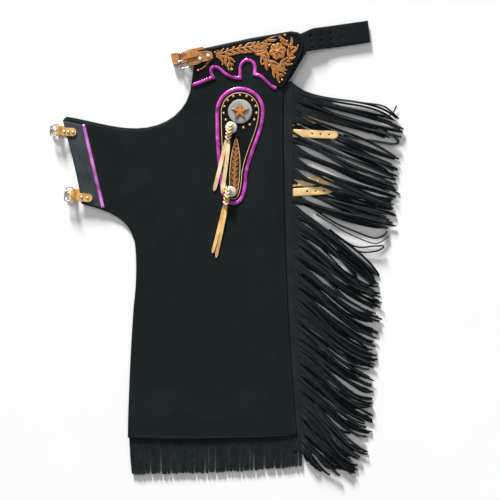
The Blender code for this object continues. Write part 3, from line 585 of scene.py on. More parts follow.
LOOKS = {  # each look's slot and material
    "black": ("black_leather", grain_leather("black_leather", (0.008, 0.0122, 0.0126), 0.56, mottle=0.16)),
    "yoke": ("black_leather", grain_leather("yoke_leather", (0.0048, 0.0062, 0.0066), 0.5, mottle=0.15)),
    "belt": ("black_leather", grain_leather("belt_leather", (0.0078, 0.0108, 0.0122), 0.5, 1.4, 0.08, 0.2)),
    "fringe": ("fringe_leather", strip_leather("fringe_leather", (0.0082, 0.0118, 0.0135))),
    "hem": ("fringe_leather", strip_leather("hem_leather", (0.0098, 0.0142, 0.0156))),
    "header": ("fringe_leather", grain_leather("header_leather", (0.015, 0.0188, 0.0215), 0.55)),
    "band": ("band_leather", grain_leather("band_leather", (0.046, 0.057, 0.065), 0.42, 0.9, 0.05, 0.22, 0.1)),
    "foil": ("magenta_foil", foil_leather("magenta_foil", (0.68, 0.075, 0.56))),
    # a lighter copy of the magenta foil: painted highlight along the thigh piping
    "painted_highlight_foil": ("magenta_foil", foil_leather("magenta_foil_painted_highlight", (0.86, 0.21, 0.8))),
    "carved": ("tooled_tan", carved_leather("carved_tan", (0.56, 0.215, 0.042), (0.035, 0.011, 0.005))),
    "ground": ("tooled_tan", tan_leather("carved_ground", (0.03, 0.016, 0.009), (0.012, 0.008, 0.006), 0.6,
                                         0.2, 0)),
    "waist": ("tooled_tan", tan_leather("waist_tan", (0.5, 0.2, 0.045), (0.2, 0.066, 0.016))),
    "strap": ("strap_tan", tan_leather("strap_tan", (0.84, 0.57, 0.26), (0.68, 0.4, 0.15), 0.5, 0.06)),
    "chape": ("strap_tan", tan_leather("chape_tan", (0.8, 0.44, 0.13), (0.58, 0.26, 0.06), 0.45, 0.1)),
    "string": ("string_tan", tan_leather("string_tan", (0.86, 0.62, 0.34), (0.74, 0.46, 0.21), 0.58, 0.08, 0.05)),
    "warm": ("string_tan", tan_leather("string_warm_tan", (0.8, 0.5, 0.18), (0.6, 0.3, 0.07), 0.55, 0.08, 0.1)),
    "silver": ("silver_leather", grain_leather("silver_leather", (0.36, 0.365, 0.34), 0.38, 0.8, coat=0.2)),
    "nickel": ("nickel", silver_metal("nickel", (0.66, 0.66, 0.68), 0.14, 1)),
    "concho": ("nickel", silver_metal("bright_silver", (0.93, 0.92, 0.88), 0.3, 0.35)),
    "thread": ("black_leather", grain_leather("black_thread", (0.028, 0.033, 0.037), 0.6, 0.3, 0.03)),
    "tan_thread": ("tooled_tan", grain_leather("tan_thread", (0.72, 0.5, 0.27), 0.6, 0.3, 0.03)),
}
# the knot's core is string leather given the darker waist tan: painted shade between the chevrons
LOOKS["painted_shade_core"] = ("string_tan", LOOKS["waist"][1])
LOOKS["rim"] = ("tooled_tan", LOOKS["strap"][1])


# ---- meshes


def raised(p, height, lift=0):
    """The plane point p, lift above the height field."""
    return p[0], p[1], height(p[0], p[1]) + lift


def grid_faces(rows, columns, first=0, ring=True, closed=False):
    """Faces between rows of points. ring joins each row's ends, and closed the last row to the first."""
    faces = []
    for i in range(rows if closed else rows - 1):
        a, b = first + i * columns, first + (i + 1) % rows * columns
        for k in range(columns if ring else columns - 1):
            m = (k + 1) % columns
            faces.append((a + k, b + k, b + m, a + m))
    return faces


def swept(points, columns, closed=False):
    """Points and faces of a skin over rings of points, with flat ends where it isn't closed."""
    count = len(points)
    faces = grid_faces(count // columns, columns, closed=closed)
    if not closed:
        faces += [tuple(range(columns)), tuple(range(count - 1, count - 1 - columns, -1))]
    return points, faces


def frames(line, closed=False):
    """(point, across, up) at each point of a 3-D line."""
    for here, along in runs(line, closed):
        across = along.cross(Vector((0, 0, 1))).normalized()
        yield here, across, across.cross(along)


def ribbon_mesh(line, widths, thickness, rolls):
    """Points and faces of a flat strip along a 3-D line, with a width and a roll at each point."""
    points = []
    for (here, across, up), width, roll in zip(frames(line), widths, rolls):
        side = (across * math.cos(roll) + up * math.sin(roll)) * width / 2
        lift = (up * math.cos(roll) - across * math.sin(roll)) * thickness / 2
        points += [tuple(here + side * s + lift * t) for s, t in ((-1, -1), (1, -1), (1, 1), (-1, 1))]
    return swept(points, 4)


def tube_mesh(line, radii, sides=8, closed=False, flatten=1):
    """Points and faces of a round bar along a 3-D line, with a radius at each point."""
    turns = [2 * math.pi * (k + 0.5) / sides for k in range(sides)]
    points = []
    for (here, across, up), r in zip(frames(line, closed), radii):
        points += [tuple(here + across * math.cos(a) * r + up * math.sin(a) * r * flatten) for a in turns]
    return swept(points, sides, closed)


def joined(parts):
    """One mesh's points and faces out of several."""
    points, faces = [], []
    for more_points, more_faces, *_ in parts:
        first = len(points)
        points += more_points
        faces += [tuple(v + first for v in face) for face in more_faces]
    return points, faces


def added(name, mesh, look, node, sharp):
    """The mesh as a piece of the model, which stands for the node if there is one."""
    slot, material = LOOKS[look]
    mesh.materials.clear()
    mesh.materials.append(material)
    mesh.shade_smooth()
    mesh.set_sharp_from_angle(angle=math.radians(sharp))
    piece = linked(name, mesh)
    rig.ride(piece, "root")
    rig.slot(piece, slot)
    if node:
        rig.replaces(piece, node)
    return piece


def new_piece(name, solid, look, node=None, sharp=40):
    points, faces = solid
    mesh = bpy.data.meshes.new(name)
    mesh.from_pydata([(x * MM, y * MM, z * MM) for x, y, z in points], [], faces)
    mesh.validate()
    return added(name, mesh, look, node, sharp)


def dressed(node, name, look, bevel=0.45):
    """A copy of a CAD piece with softened edges and its real material."""
    mesh = frame["nodes"][node].data.copy()
    form = bmesh.new()
    form.from_mesh(mesh)
    bmesh.ops.remove_doubles(form, verts=form.verts, dist=1e-6)
    form.to_mesh(mesh)
    form.free()
    piece = added(name, mesh, look, node, 50)
    soft = piece.modifiers.new("edges", "BEVEL")
    soft.width = bevel * MM
    soft.segments = 2
    soft.limit_method = "ANGLE"
    soft.angle_limit = math.radians(50)
    piece.modifiers.new("even_shading", "WEIGHTED_NORMAL")


def thin_sheet(name, node, top, thickness, look, loops=None, step=6, edge_step=4, crown=0,
               crown_width=3, round_over=0.5):
    """A wall under the height field top(x, y), with rounded edges and an optional crown.

    It is cut to the loops, or to its node's outline.
    """
    loops = loops or cad_outline(node)
    region = Region(loops)
    loops = [divided(loop, edge_step) for loop in loops]
    rim, edges, extra = [], [], []
    for loop in loops:
        first = len(rim)
        rim += loop
        edges += [(first + i, first + (i + 1) % len(loop)) for i in range(len(loop))]
        for here, along in runs(loop, closed=True):
            for inset in (round_over, -round_over, 3.2 * round_over, -3.2 * round_over):
                extra.append(tuple(here + along.orthogonal() * inset))
    extra = [p for p, near in zip(extra, region.distance(extra)) if near > 0.8 * round_over]
    low, high = np.min(loops[0], axis=0), np.max(loops[0], axis=0)
    grid = [
        (x + (0.5 * step if row % 2 else 0), y)
        for row, y in enumerate(np.arange(low[1], high[1], step * 0.87))
        for x in np.arange(low[0], high[0], step)
    ]
    extra += [p for p, near in zip(grid, region.distance(grid)) if near > 0.45 * step]
    extra = [p for p, within in zip(extra, region.inside(extra)) if within]
    made = delaunay_2d_cdt([Vector(p) for p in rim + extra], edges, [], 0, 1e-5)
    flat = np.array([tuple(v) for v in made[0]])
    triangles = np.array([tuple(face) for face in made[2]])
    triangles = triangles[region.inside(flat[triangles].mean(1))].tolist()
    distance = region.distance(flat)
    drop = round_over * np.clip(1 - distance / (2.5 * round_over), 0, 1) ** 2
    height = np.array([top(x, y) for x, y in flat])
    over = height + crown * (1 - np.exp(-distance / crown_width)) - drop
    points = [(x, y, z) for level in (height - thickness, over) for (x, y), z in zip(flat, level)]
    sides = {(p, q) for t in triangles for p, q in around(t)}
    count = len(flat)
    faces = [t[::-1] for t in triangles] + [[v + count for v in t] for t in triangles]
    faces += [(p, q, q + count, p + count) for p, q in sides if (q, p) not in sides]
    return new_piece(name, (points, faces), look, node, sharp=50)


def piping(name, node, look="foil", crown=1.3):
    """A length of foil leather over a cord, which swells between its edges."""
    thin = FOIL - 0.3  # room for the swelling
    return thin_sheet(name, node, on_leg(GAP + thin), thin, look, step=2.6, edge_step=2.4, crown=crown,
                      crown_width=1.8)


def stitched(name, lines, height, look="thread", pitch=4.2):
    """Stitches that lie on height(x, y) along open lines."""
    parts = []
    profile = ((-1, -0.25), (-0.55, 0.22), (0.55, 0.22), (1, -0.25))
    for line in lines:
        for at, along in spaced(line, pitch):
            ends = [raised(at + along * pitch * 0.36 * t, height, lift) for t, lift in profile]
            parts.append(tube_mesh(ends, (0.27, 0.45, 0.45, 0.27), 6))
    new_piece(name, joined(parts), look)


# ---- side fringe

STRIP_WIDTH = 5.4
STRIP_THICKNESS = 1.4
STRIP_STEPS = fractions(22)
FRINGE_LENGTH = 270
FRINGE_TOP = 369
FRINGE_FOOT = -456
HEADER_TOP = 371
HEADER_LENGTH = 829
HEADER_WIDTH = 22  # at the top, and it narrows downwards
HEADER_TAPER = 12
HIGH_HEADER = 10.6  # tops of the two headers where they lie free, past the seam
LOW_HEADER = 2.6
OVERLAP = 2  # how far a strip reaches back under its header
LOWEST = 0.15  # no strip goes nearer to the floor

CLUMP_ROWS = [  # root height, tip, and how steeply the clump leaves the seam and ends, in degrees below level
    (366, (378, 290), 38, 30), (344, (396, 258), 30, 14), (318, (372, 250), 28, 30),
    (296, (386, 196), 24, 26), (274, (388, 174), 26, 24), (250, (385, 152), 24, 20),
    (222, (386, 130), 24, 18), (192, (383, 106), 24, 16), (164, (380, 86), 22, 14),
    (140, (379, 66), 26, 8), (118, (378, 48), 30, 4), (84, (342, -66), 32, 44),
    (56, (340, -78), 30, 40), (26, (341, -100), 30, 12), (-4, (345, -130), 30, 18),
    (-34, (346, -158), 30, 6), (-66, (338, -192), 30, 20), (-98, (333, -222), 30, 12),
    (-126, (336, -244), 30, 4), (-152, (334, -266), 30, 10), (-180, (330, -300), 32, 18),
    (-210, (325, -330), 32, 10), (-240, (330, -356), 32, -8), (-268, (325, -388), 33, 14),
    (-300, (325, -416), 34, 8), (-332, (314, -464), 35, 16), (-364, (296, -490), 36, 14),
    (-398, (288, -505), 38, 26), (-428, (252, -504), 40, 24), (-452, (212, -490), 42, 30),
]
bunching = random.Random(4)
CLUMPS = []
for root, tip, leaves, ends in CLUMP_ROWS:
    # the upper strips are bunched more tightly, most of all where the fringe parts
    gather = (12.5 if 100 < root < 200 else 9 if root > 70 else 5) * bunching.uniform(0.7, 1.2)
    CLUMPS.append({"root": root, "tip": tip, "leaves": leaves, "ends": ends, "gather": gather})


def cut_x(y):
    """Where the side fringe's cuts start, past the uncut header."""
    return seam_x(y) + HEADER_WIDTH - HEADER_TAPER * smooth((SEAM_TOP - y) / (SEAM_TOP - HEM_Y))


def past_seam(x, y):
    return smooth((x - seam_x(y) - 14) / 40)


def high_header(x, y):
    """Top of the left leg's fringe header, which starts under the panel."""
    return blend(left_top(x, y) - LEATHER - GAP, HIGH_HEADER, past_seam(x, y))


def low_header(x, y):
    return blend(right_top(x, y) + GAP + TRIM, LOW_HEADER, past_seam(x, y))


SIDE_FRINGES = [
    {"side": "left", "seed": 7, "phase": 0, "header": high_header, "pile": (8, 10.8), "tips": (2.2, 7),
     "under": 4.1, "share": 0.8},
    {"side": "right", "seed": 23, "phase": 13, "header": low_header, "pile": (1, 3.4), "tips": (0.9, 2.4),
     "under": 1.2, "share": 1},
]


def above_floor(solid):
    points, faces = solid
    return [(x, y, max(z, LOWEST)) for x, y, z in points], faces


def strip_line(root_y, clump, off, heights, rng):
    """A strip's centreline from the end of its cut to its tip.

    off is its place in the clump, -1 to 1, and heights are those of its root, middle and tip.
    """
    root = Vector((cut_x(root_y) - OVERLAP, root_y))
    short = rng.uniform(-50, -20) if rng.random() < 0.18 else rng.uniform(-20, 4)
    tip = Vector(clump["tip"]) + Vector((short, off * 9 + rng.uniform(-8, 8)))
    length = (tip - root).length
    leaves = clump["leaves"] + rng.uniform(-5, 5)
    ends = clump["ends"] + rng.uniform(-16, 16)
    a = root + direction(-leaves) * length * rng.uniform(0.34, 0.44)
    b = tip - direction(-ends) * length * rng.uniform(0.2, 0.34)
    wave, size = rng.uniform(0, 6.28), rng.uniform(0.5, 2)
    line = []
    for t, (x, y) in zip(STRIP_STEPS, interpolate_bezier(root, a, b, tip, len(STRIP_STEPS))):
        pull = -off * clump["gather"] * smooth(t / 0.16) * (1 - 0.7 * smooth((t - 0.4) / 0.6))
        height = blend(heights[0], heights[1], smooth(t / 0.2))
        height = blend(height, heights[2], smooth((t - 0.45) / 0.55))
        line.append((x, y + pull + size * t * math.sin(wave + 5.5 * t), height))
    return line


def make_strips(side, seed, phase, header, pile, tips, under, share):
    """All the cut strips of one side fringe, and their flat area.

    pile and tips say how low and high strips lie at their middles and tips. A share of them pass under the
    billets, at the height under.
    """
    billets = [Region(cad_outline(f"{side}_billet_{place}")) for place in ("upper", "lower")]
    rng = random.Random(seed)
    count = round((FRINGE_TOP - FRINGE_FOOT) / STRIP_WIDTH)
    parts, area = [], 0
    for i in range(count):
        root_y = FRINGE_TOP - (i + 0.5) * (FRINGE_TOP - FRINGE_FOOT) / count
        shift = phase * smooth((80 - root_y) / 80)
        clump = min(CLUMPS, key=lambda c: abs(c["root"] - root_y - shift))
        off = max(-1, min(1, (root_y + shift - clump["root"]) / 15))
        stack = rng.uniform(0, 1)
        start = header(cut_x(root_y) - OVERLAP, root_y) - STRIP_THICKNESS / 2 - 0.3
        line = strip_line(root_y, clump, off, (start, blend(*pile, stack), blend(*tips, stack)), rng)
        if rng.random() < share:
            for billet in billets:
                places = [place[:2] for place in line]
                gaps = np.where(billet.inside(places), 0, billet.distance(places))
                line = [(x, y, blend(under, z, smooth((gap - 3) / 16))) for (x, y, z), gap in zip(line, gaps)]
        taper = rng.uniform(0.05, 0.35)
        widths = [STRIP_WIDTH * (1.04 - taper * t) for t in STRIP_STEPS]
        widths[-1] *= rng.uniform(0.3, 0.9)
        swing, turn = rng.uniform(-1.2, 1.2), rng.uniform(0, 6.28)
        rolls = [swing * smooth((t - 0.12) / 0.5) * math.sin(turn + 3.2 * t) for t in STRIP_STEPS]
        parts.append(ribbon_mesh(line, widths, STRIP_THICKNESS, rolls))
        area += length_of(line) * STRIP_WIDTH
    strips = new_piece(f"{side}_fringe", above_floor(joined(parts)), "fringe", f"{side}_side_fringe")
    return strips, area


STRAYS = [  # the routes and widths of loose strips that curl away from the rest
    (((150, 350), (210, 336), (260, 328), (320, 322), (352, 316), (372, 302), (386, 288)), 3.6),
    (((160, 318), (230, 296), (300, 270), (345, 258), (372, 250), (385, 236), (372, 231), (330, 238),
      (290, 244), (262, 252)), 5.4),
    (((172, 330), (240, 318), (300, 306), (345, 296), (366, 296), (376, 306), (381, 317)), 3),
    (((180, 96), (240, 56), (290, 34), (330, 20), (352, 26), (360, 36)), 3.8),
    (((200, 74), (262, 36), (310, 14), (336, 8), (356, 18), (364, 26)), 2.4),
    (((230, 40), (285, 2), (330, 2), (352, 2), (340, -8), (314, -12), (296, -10)), 3.4),
    (((240, -60), (292, -92), (326, -104), (344, -112)), 3),
]


def make_strays():
    parts = []
    for number, (route, width) in enumerate(STRAYS):
        flat = catmull(route, 7)
        line, rolls = [], []
        for i, (x, y) in enumerate(flat):
            t = i / len(flat)
            line.append((x, y, 6.5 + 3 * smooth(t / 0.2) - 5.5 * smooth(1.6 * t - 0.5)))
            rolls.append(0.7 * math.sin(number + 4 * t))
        parts.append(ribbon_mesh(line, [width] * len(line), 1.1, rolls))
    return new_piece("stray_strips", joined(parts), "fringe")


def make_header(side, height):
    """The uncut strip along the seam."""
    ys = [HEADER_TOP - HEADER_LENGTH * t for t in fractions(60)]
    loop = [(seam_x(y) - 11.5, y) for y in ys] + [(cut_x(y), y) for y in ys[::-1]]
    return thin_sheet(f"{side}_fringe_header", None, height, TRIM, "header", [loop], step=5, edge_step=5)


# ---- hem fringe

HEM_STRIP = 7.8
HEM_LEFT = -219
HEM_RIGHT = 168.5
HEM_SEED = 3
HIGH_HEM = 3.4  # heights of the two hem fringes where they lie free, below the hem
LOW_HEM = 0.95


def hem_y(x):
    """The hem seam's height at x."""
    t = (x + 222) / 380
    return -428 - 6.8 * math.sin(math.pi * min(1, max(0, t)) * 0.8) + 7 * t


def high_hem(x, y):
    """Where the left leg's hem strips lie: between the panels, then free below the hem."""
    return blend(left_top(x, y) - LEATHER - GAP - STRIP_THICKNESS / 2 - 0.8, HIGH_HEM, smooth((-434 - y) / 35))


def low_hem(x, y):
    return blend(right_top(x, y) + GAP + STRIP_THICKNESS / 2 + 0.15, LOW_HEM, smooth((-434 - y) / 35))


def make_hem_fringe(side, base, reach):
    """Short strips along the hem, at the height field base. reach is the longest one's length."""
    rng = random.Random(HEM_SEED)
    count = round((HEM_RIGHT - HEM_LEFT) / HEM_STRIP)
    pitch = (HEM_RIGHT - HEM_LEFT) / count
    parts = []
    for i in range(count):
        x = HEM_LEFT + (i + 0.5) * pitch
        top = hem_y(x) + 9.5
        length = reach - 14 * (i + 0.5) / count + rng.uniform(-1.6, 1.2)
        parting = 2.6 * math.sin(2.3 * i) if i % 3 == 0 else rng.uniform(-0.9, 0.9)
        lean = parting + 5 * smooth((4 - i) / 4)
        bow = rng.uniform(-0.8, 0.8)
        line = []
        for t in fractions(12):
            y = top - 12 - (length - 4) * t if t else top
            free = smooth((t - 0.08) / 0.5)
            height = base(x, y) + rng.uniform(0, 0.5) * free
            line.append((x + lean * t * t + bow * math.sin(3.1 * t), y, height))
        widths = [pitch + 0.05] * 3 + [pitch * rng.uniform(0.84, 1)] * 10
        widths[-1] *= 0.8
        roll = rng.uniform(-0.22, 0.22)
        rolls = [roll * smooth((k - 2) / 6) for k in range(13)]
        parts.append(ribbon_mesh(line, widths, STRIP_THICKNESS, rolls))
    return new_piece(f"{side}_hem_strips", above_floor(joined(parts)), "hem", f"{side}_hem_fringe")


# ---- carved work

# tone follows the lift: low edges get antique finish and painted shade, crests a painted highlight
HALF_LEAF = [(1, 0, 0), (0.62, 0.9, 1), (0.12, 0.55, 0.45)]  # across, lift and tone, from the edge in
LEAF_SECTION = [(-across, lift, tone) for across, lift, tone in HALF_LEAF] + HALF_LEAF[::-1]
LEAF_FAN = 52


def carved_leaf(spine, width, base, height=1.2):
    """A leaf with a midrib: points, faces and tones. spine is a list of plane points, root first."""
    points, tones = [], []
    last = len(spine) - 1
    for i, (at, along) in enumerate(runs(spine)):
        t = i / last
        swell = 0.35 + 1.35 * math.sin(math.pi * min(1, 0.12 + 0.88 * t)) ** 0.8
        half = max(0.25, width / 2 * swell * (1 - 0.25 * t)) if i < last else 0.25
        scallop = 0.85 + 0.15 * math.cos(9 * t * math.pi)
        for across, lift, tone in LEAF_SECTION:
            points.append(raised(at + along.orthogonal() * half * across, base, height * lift * scallop))
            tones.append(tone * scallop)
    return points, grid_faces(len(spine), 6, ring=False), tones


def carved_dome(centre, radius, base, height=1.3, count=12):
    points, tones = [raised(centre, base, height)], [1]
    for r, lift, tone in ((0.6, 0.85, 1), (1, 0, 0)):
        for i in range(count):
            spot = Vector(centre) + direction(360 * i / count) * radius * r
            points.append(raised(spot, base, height * lift))
            tones.append(tone)
    cap = [(0, 1 + i, 1 + (i + 1) % count) for i in range(count)]
    return points, cap + grid_faces(2, count, first=1), tones


def curled(start, heading, length, curl, steps=9):
    """A spine that starts at a heading and turns by curl degrees over its length."""
    spine, at = [tuple(start)], Vector(start)
    for i in range(steps):
        at = at + direction(heading + curl * ((i + 0.5) / steps) ** 1.5) * length / steps
        spine.append(tuple(at))
    return spine


def leaves_along(vine, region, base, taken, reach=(24.0, 6.0), pitch=4.8, width=4.8, clear=3.2):
    """Leaves and curls on both sides of a vine, as long as the region and what is there already allow."""
    parts = [carved_leaf(vine[::2], 2.4, base, 1)]
    for number, (at, along) in enumerate(spaced(vine, pitch)):
        heading = math.degrees(math.atan2(along.y, along.x))
        for side in (1, -1):
            turn = side * (85 if (number + side) % 3 else -50)
            for length in np.arange(*reach, -2.0):
                spine = curled(at, heading + side * LEAF_FAN, length, turn)
                free = not taken or np.min(apart(spine[4:], taken)) > clear
                room = region.distance(spine[3:]).min()
                if free and region.inside(spine[3:]).all() and room > 0.4 * width:
                    parts.append(carved_leaf(spine, width * (0.6 + 0.4 * length / reach[0]), base))
                    if length > 0.45 * reach[0] and number % 2 == 0:
                        parts.append(carved_dome(spine[-1], 0.42 * width, base, 1.3, 8))
                    taken += spine[3:]
                    break
    return parts


def carved_flower(centre, radius, base, petals=6):
    parts = []
    for i in range(petals):
        turn = 360 * i / petals + 15
        out = Vector(centre) + direction(turn) * radius * 0.25
        parts.append(carved_leaf(curled(out, turn, radius * 0.8, 12, 7), radius * 0.72, base, 1.7))
    for i in range(petals):
        at = Vector(centre) + direction(360 * i / petals - 15) * radius * 0.3
        parts.append(carved_dome(at, radius * 0.1, lambda x, y: base(x, y) + 1, 1, 8))
    parts.append(carved_dome(centre, radius * 0.24, lambda x, y: base(x, y) + 0.9, 1.6))
    return parts


def carved_piece(name, parts, node=None):
    """The parts as one piece, with a tone at each point, from 0 in the cuts to 1 on the crests, which the carved
    material turns into antique finish with painted shade in the cuts and a painted highlight on the crests.
    """
    piece = new_piece(name, joined(parts), "carved", node, sharp=70)
    attribute = piece.data.attributes.new("tone", "FLOAT", "POINT")
    attribute.data.foreach_set("value", [tone for part in parts for tone in part[2]])
    return piece


# ---- yoke and thigh band

FLOWER = (114, 438)
FLOWER_RADIUS = 19
VINES = [  # main stem, the ring round the flower, the fan under it, and the small ones towards the front
    ((-24, 426), (-6, 436), (14, 443), (36, 447), (58, 449), (78, 457), (100, 470), (128, 473)),
    ((88, 452), (84, 434), (91, 416), (108, 406), (126, 409), (140, 422), (144, 440), (136, 458)),
    ((103, 406), (110, 396), (118, 386), (124, 376)),
    ((-4, 434), (2, 424), (8, 412), (12, 400)),
    ((60, 447), (72, 434), (82, 422), (94, 408)),
    ((-30, 424), (-40, 416), (-50, 404), (-62, 397)),
]
BUDS = ((124, 374), (12, 398), (95, 406), (130, 474), (135, 460), (-64, 396))
FOLD_TOP = (-336, 236)
FOLD_FOOT = (-318, 158)
FOLD_DEPTH = 2.2
FOLD_WIDTH = 6


def make_yokes():
    top = on_leg(GAP + TRIM)
    yoke = thin_sheet("left_yoke_panel", "left_yoke", top, TRIM, "yoke", step=7)
    under = thin_sheet("right_yoke_panel", "right_yoke", lambda x, y: TRIM, TRIM, "yoke", step=16,
                       edge_step=6)
    region = Region(cad_outline("left_yoke_overlay"))
    face = on_leg(GAP + TRIM + 0.12)
    taken = [tuple(Vector(FLOWER) + direction(15 * i) * FLOWER_RADIUS) for i in range(24)]
    parts = carved_flower(FLOWER, FLOWER_RADIUS, lambda x, y: face(x, y) + 0.3)
    for vine in VINES:
        parts += leaves_along(catmull(vine, 6), region, face, taken)
    parts += [carved_dome(bud, 3, face, 1.6) for bud in BUDS]
    carving = carved_piece("yoke_carving", parts, "left_yoke_overlay")
    return yoke, under, carving, piping("yoke_piping", "left_yoke_piping")


def band_top(x, y):
    """Top of the thigh band, with a soft crease that runs down its middle."""
    along, off = beside(x, y, FOLD_TOP, FOLD_FOOT)
    window = smooth((along + 0.25) / 0.4) * smooth((1.25 - along) / 0.4)
    ridges = 0.75 * math.exp(-(((off - FOLD_WIDTH) / FOLD_WIDTH) ** 2))
    valley = 0.3 * math.exp(-((off / 2.5) ** 2))
    return leg_top(x, y) + GAP + OVERLAY + window * FOLD_DEPTH * (ridges - valley)


# ---- applique

STAR_CENTRE = (29.7, 304)
STAR_ARM = [(0.5, 7, 1), (6, 6.4, 1), (11, 4.6, 1), (16, 2.5, 1), (21, 0.2, 0.2)]  # out, half width, lift
DOTS = 15
DOT_RING = 37
DOT_RADIUS = 3.2
CONCHOS = [  # each with its string: the ends of its knot and of its two tails
    {"name": "upper", "at": (9.7, 268), "radius": 13.5, "lift": 0, "width": 8.5, "look": "string",
     "knot": ((7.7, 276), (2.2, 240)),
     "tails": (((-1.6, 240), (-28.3, 126)), ((4.8, 240), (-9.3, 119)))},
    {"name": "lower", "at": (8.7, 124), "radius": 12.5, "lift": OVERLAY + GAP, "width": 7, "look": "warm",
     "knot": ((3.7, 133), (-2.8, 93)),
     "tails": (((-6, 94), (-31.8, -14)), ((-0.5, 94), (-22.8, -24)))},
]


def star_arm(turn, base):
    """One ridged arm of the star: points, faces and tones."""
    points, tones = [], []
    for out, half, rise in STAR_ARM:
        middle = Vector(STAR_CENTRE) + direction(turn) * out
        for across, lift, tone in ((-1, 0, 0), (0, 2.2, 1), (1, 0, 0)):
            points.append(raised(middle + direction(turn + 90) * half * across, base, 0.2 + lift * rise))
            tones.append(tone)
    return points, grid_faces(len(STAR_ARM), 3, ring=False), tones


def rim(name, node, inset, lift, radius, flatten=1):
    """A fine raised line round a panel, inside its edge."""
    line = [raised(p, on_leg(lift)) for p in inset_line(node, inset)]
    tube = tube_mesh(line, [radius] * len(line), closed=True, flatten=flatten)
    return new_piece(name, tube, "rim")


def make_applique():
    field_top = on_leg(GAP + OVERLAY)
    second = 2 * GAP + OVERLAY  # where the layer on the field starts
    pieces = [
        thin_sheet("applique_panel", "applique_field", field_top, OVERLAY, "yoke"),
        piping("applique_piping", "applique_border"),
        rim("applique_rim", "applique_field", 5, GAP + OVERLAY + 0.35, 0.75, 0.7),
        thin_sheet("applique_medallion", "applique_disc", on_leg(second + OVERLAY), OVERLAY, "silver", step=3,
                   crown=0.8, crown_width=6),
    ]
    arms = [star_arm(90 + 72 * i, on_leg(second + OVERLAY + 0.8)) for i in range(5)]
    pieces.append(carved_piece("applique_star_carving", arms, "applique_star"))
    dots = []
    for i in range(DOTS):
        at = Vector(STAR_CENTRE) + direction(90 + 360 * i / DOTS) * DOT_RING
        if math.dist(at, CONCHOS[0]["at"]) > CONCHOS[0]["radius"] + DOT_RADIUS + 1.5:
            dots.append(carved_dome(at, DOT_RADIUS, field_top, 1.4))
    pieces.append(carved_piece("applique_dots", dots))
    leaf = cad_outline("applique_leaf")[0]
    ground = on_leg(second + 0.9)
    pieces.append(thin_sheet("applique_leaf_ground", "applique_leaf", ground, 0.8, "ground", step=3))
    (left, foot), (right, head) = np.min(leaf, axis=0), np.max(leaf, axis=0)
    x = 0.5 * (left + right)
    stem = catmull([(x + 1, foot + 3), (x - 1, foot + 45), (x + 1, foot + 90), (x + 3, head - 6)], 10)
    leaves = leaves_along(stem, Region([leaf]), on_leg(second + 0.95), [], (12, 3), 4, 2.8, 1.6)
    pieces.append(carved_piece("applique_leaf_carving", leaves))
    pieces.append(rim("applique_leaf_rim", "applique_leaf", 0.9, second + OVERLAY - 0.4, 0.8))
    return pieces


# ---- conchos and strings

FIELD = Region(cad_outline("applique_field"))
CONCHO_RINGS = [  # radius and height of each ring, the rim's four first
    (1, 0), (1, 0.55), (0.95, 1), (0.88, 0.9), (0.84, 1.3), (0.72, 1.9), (0.66, 1.75), (0.5, 2.9),
    (0.25, 3.45),
]
CONCHO_SIDES = 48
FLUTES = 16
BEADS = 24
CHEVRON_PITCH = 7.6
CHEVRON_RADIUS = 2.6
CHEVRON_HALF = 5.4
CHEVRON_ARM = ((0, 3.4, 3.2), (0.4, 0.6, 3.5), (0.8, -2.4, 2.6), (1, -4.6, 1.2))  # across, down and up


def string_height(lift):
    """The height field of a string's underside, as in part.py: on the panel, the applique or a concho."""

    def height(x, y):
        beyond = 0 if FIELD.inside([(x, y)])[0] else FIELD.distance([(x, y)])[0]
        total = left_top(x, y) + GAP + (OVERLAY + GAP + lift) * (1 - smooth((beyond - 10) / 12))
        for concho in CONCHOS:
            beyond = math.dist((x, y), concho["at"]) - concho["radius"]
            total += 4.2 * (1 - smooth((beyond - 1.5) / 9))
        return total

    return height


def make_concho(concho):
    """A domed disc with a scalloped rim, a ring of beads and a plain middle."""
    centre = Vector(concho["at"])
    seat = left_top(*centre) + GAP + OVERLAY + GAP + concho["lift"]
    points = [(*centre, seat)]
    for k, (scale, height) in enumerate(CONCHO_RINGS):
        for i in range(CONCHO_SIDES):
            turn = 2 * math.pi * i / CONCHO_SIDES
            flute = 0.03 * math.cos(FLUTES * turn) - 0.03 if k < 4 else 0
            bead = 0.18 * math.cos(BEADS * turn) if k in (4, 5) else 0
            spot = centre + direction(360 * i / CONCHO_SIDES) * concho["radius"] * (scale + flute)
            points.append((*spot, seat + height + bead))
    points.append((*centre, seat + 3.55))
    top = len(points) - 1
    inner = top - CONCHO_SIDES
    faces = [(a, d, c, b) for a, b, c, d in grid_faces(len(CONCHO_RINGS), CONCHO_SIDES, first=1)]
    for i in range(CONCHO_SIDES):
        after = (i + 1) % CONCHO_SIDES
        faces += [(0, 1 + after, 1 + i), (inner + i, inner + after, top)]
    name = f"concho_{concho['name']}"
    new_piece(name + "_disc", (points, faces), "concho", name, sharp=60)


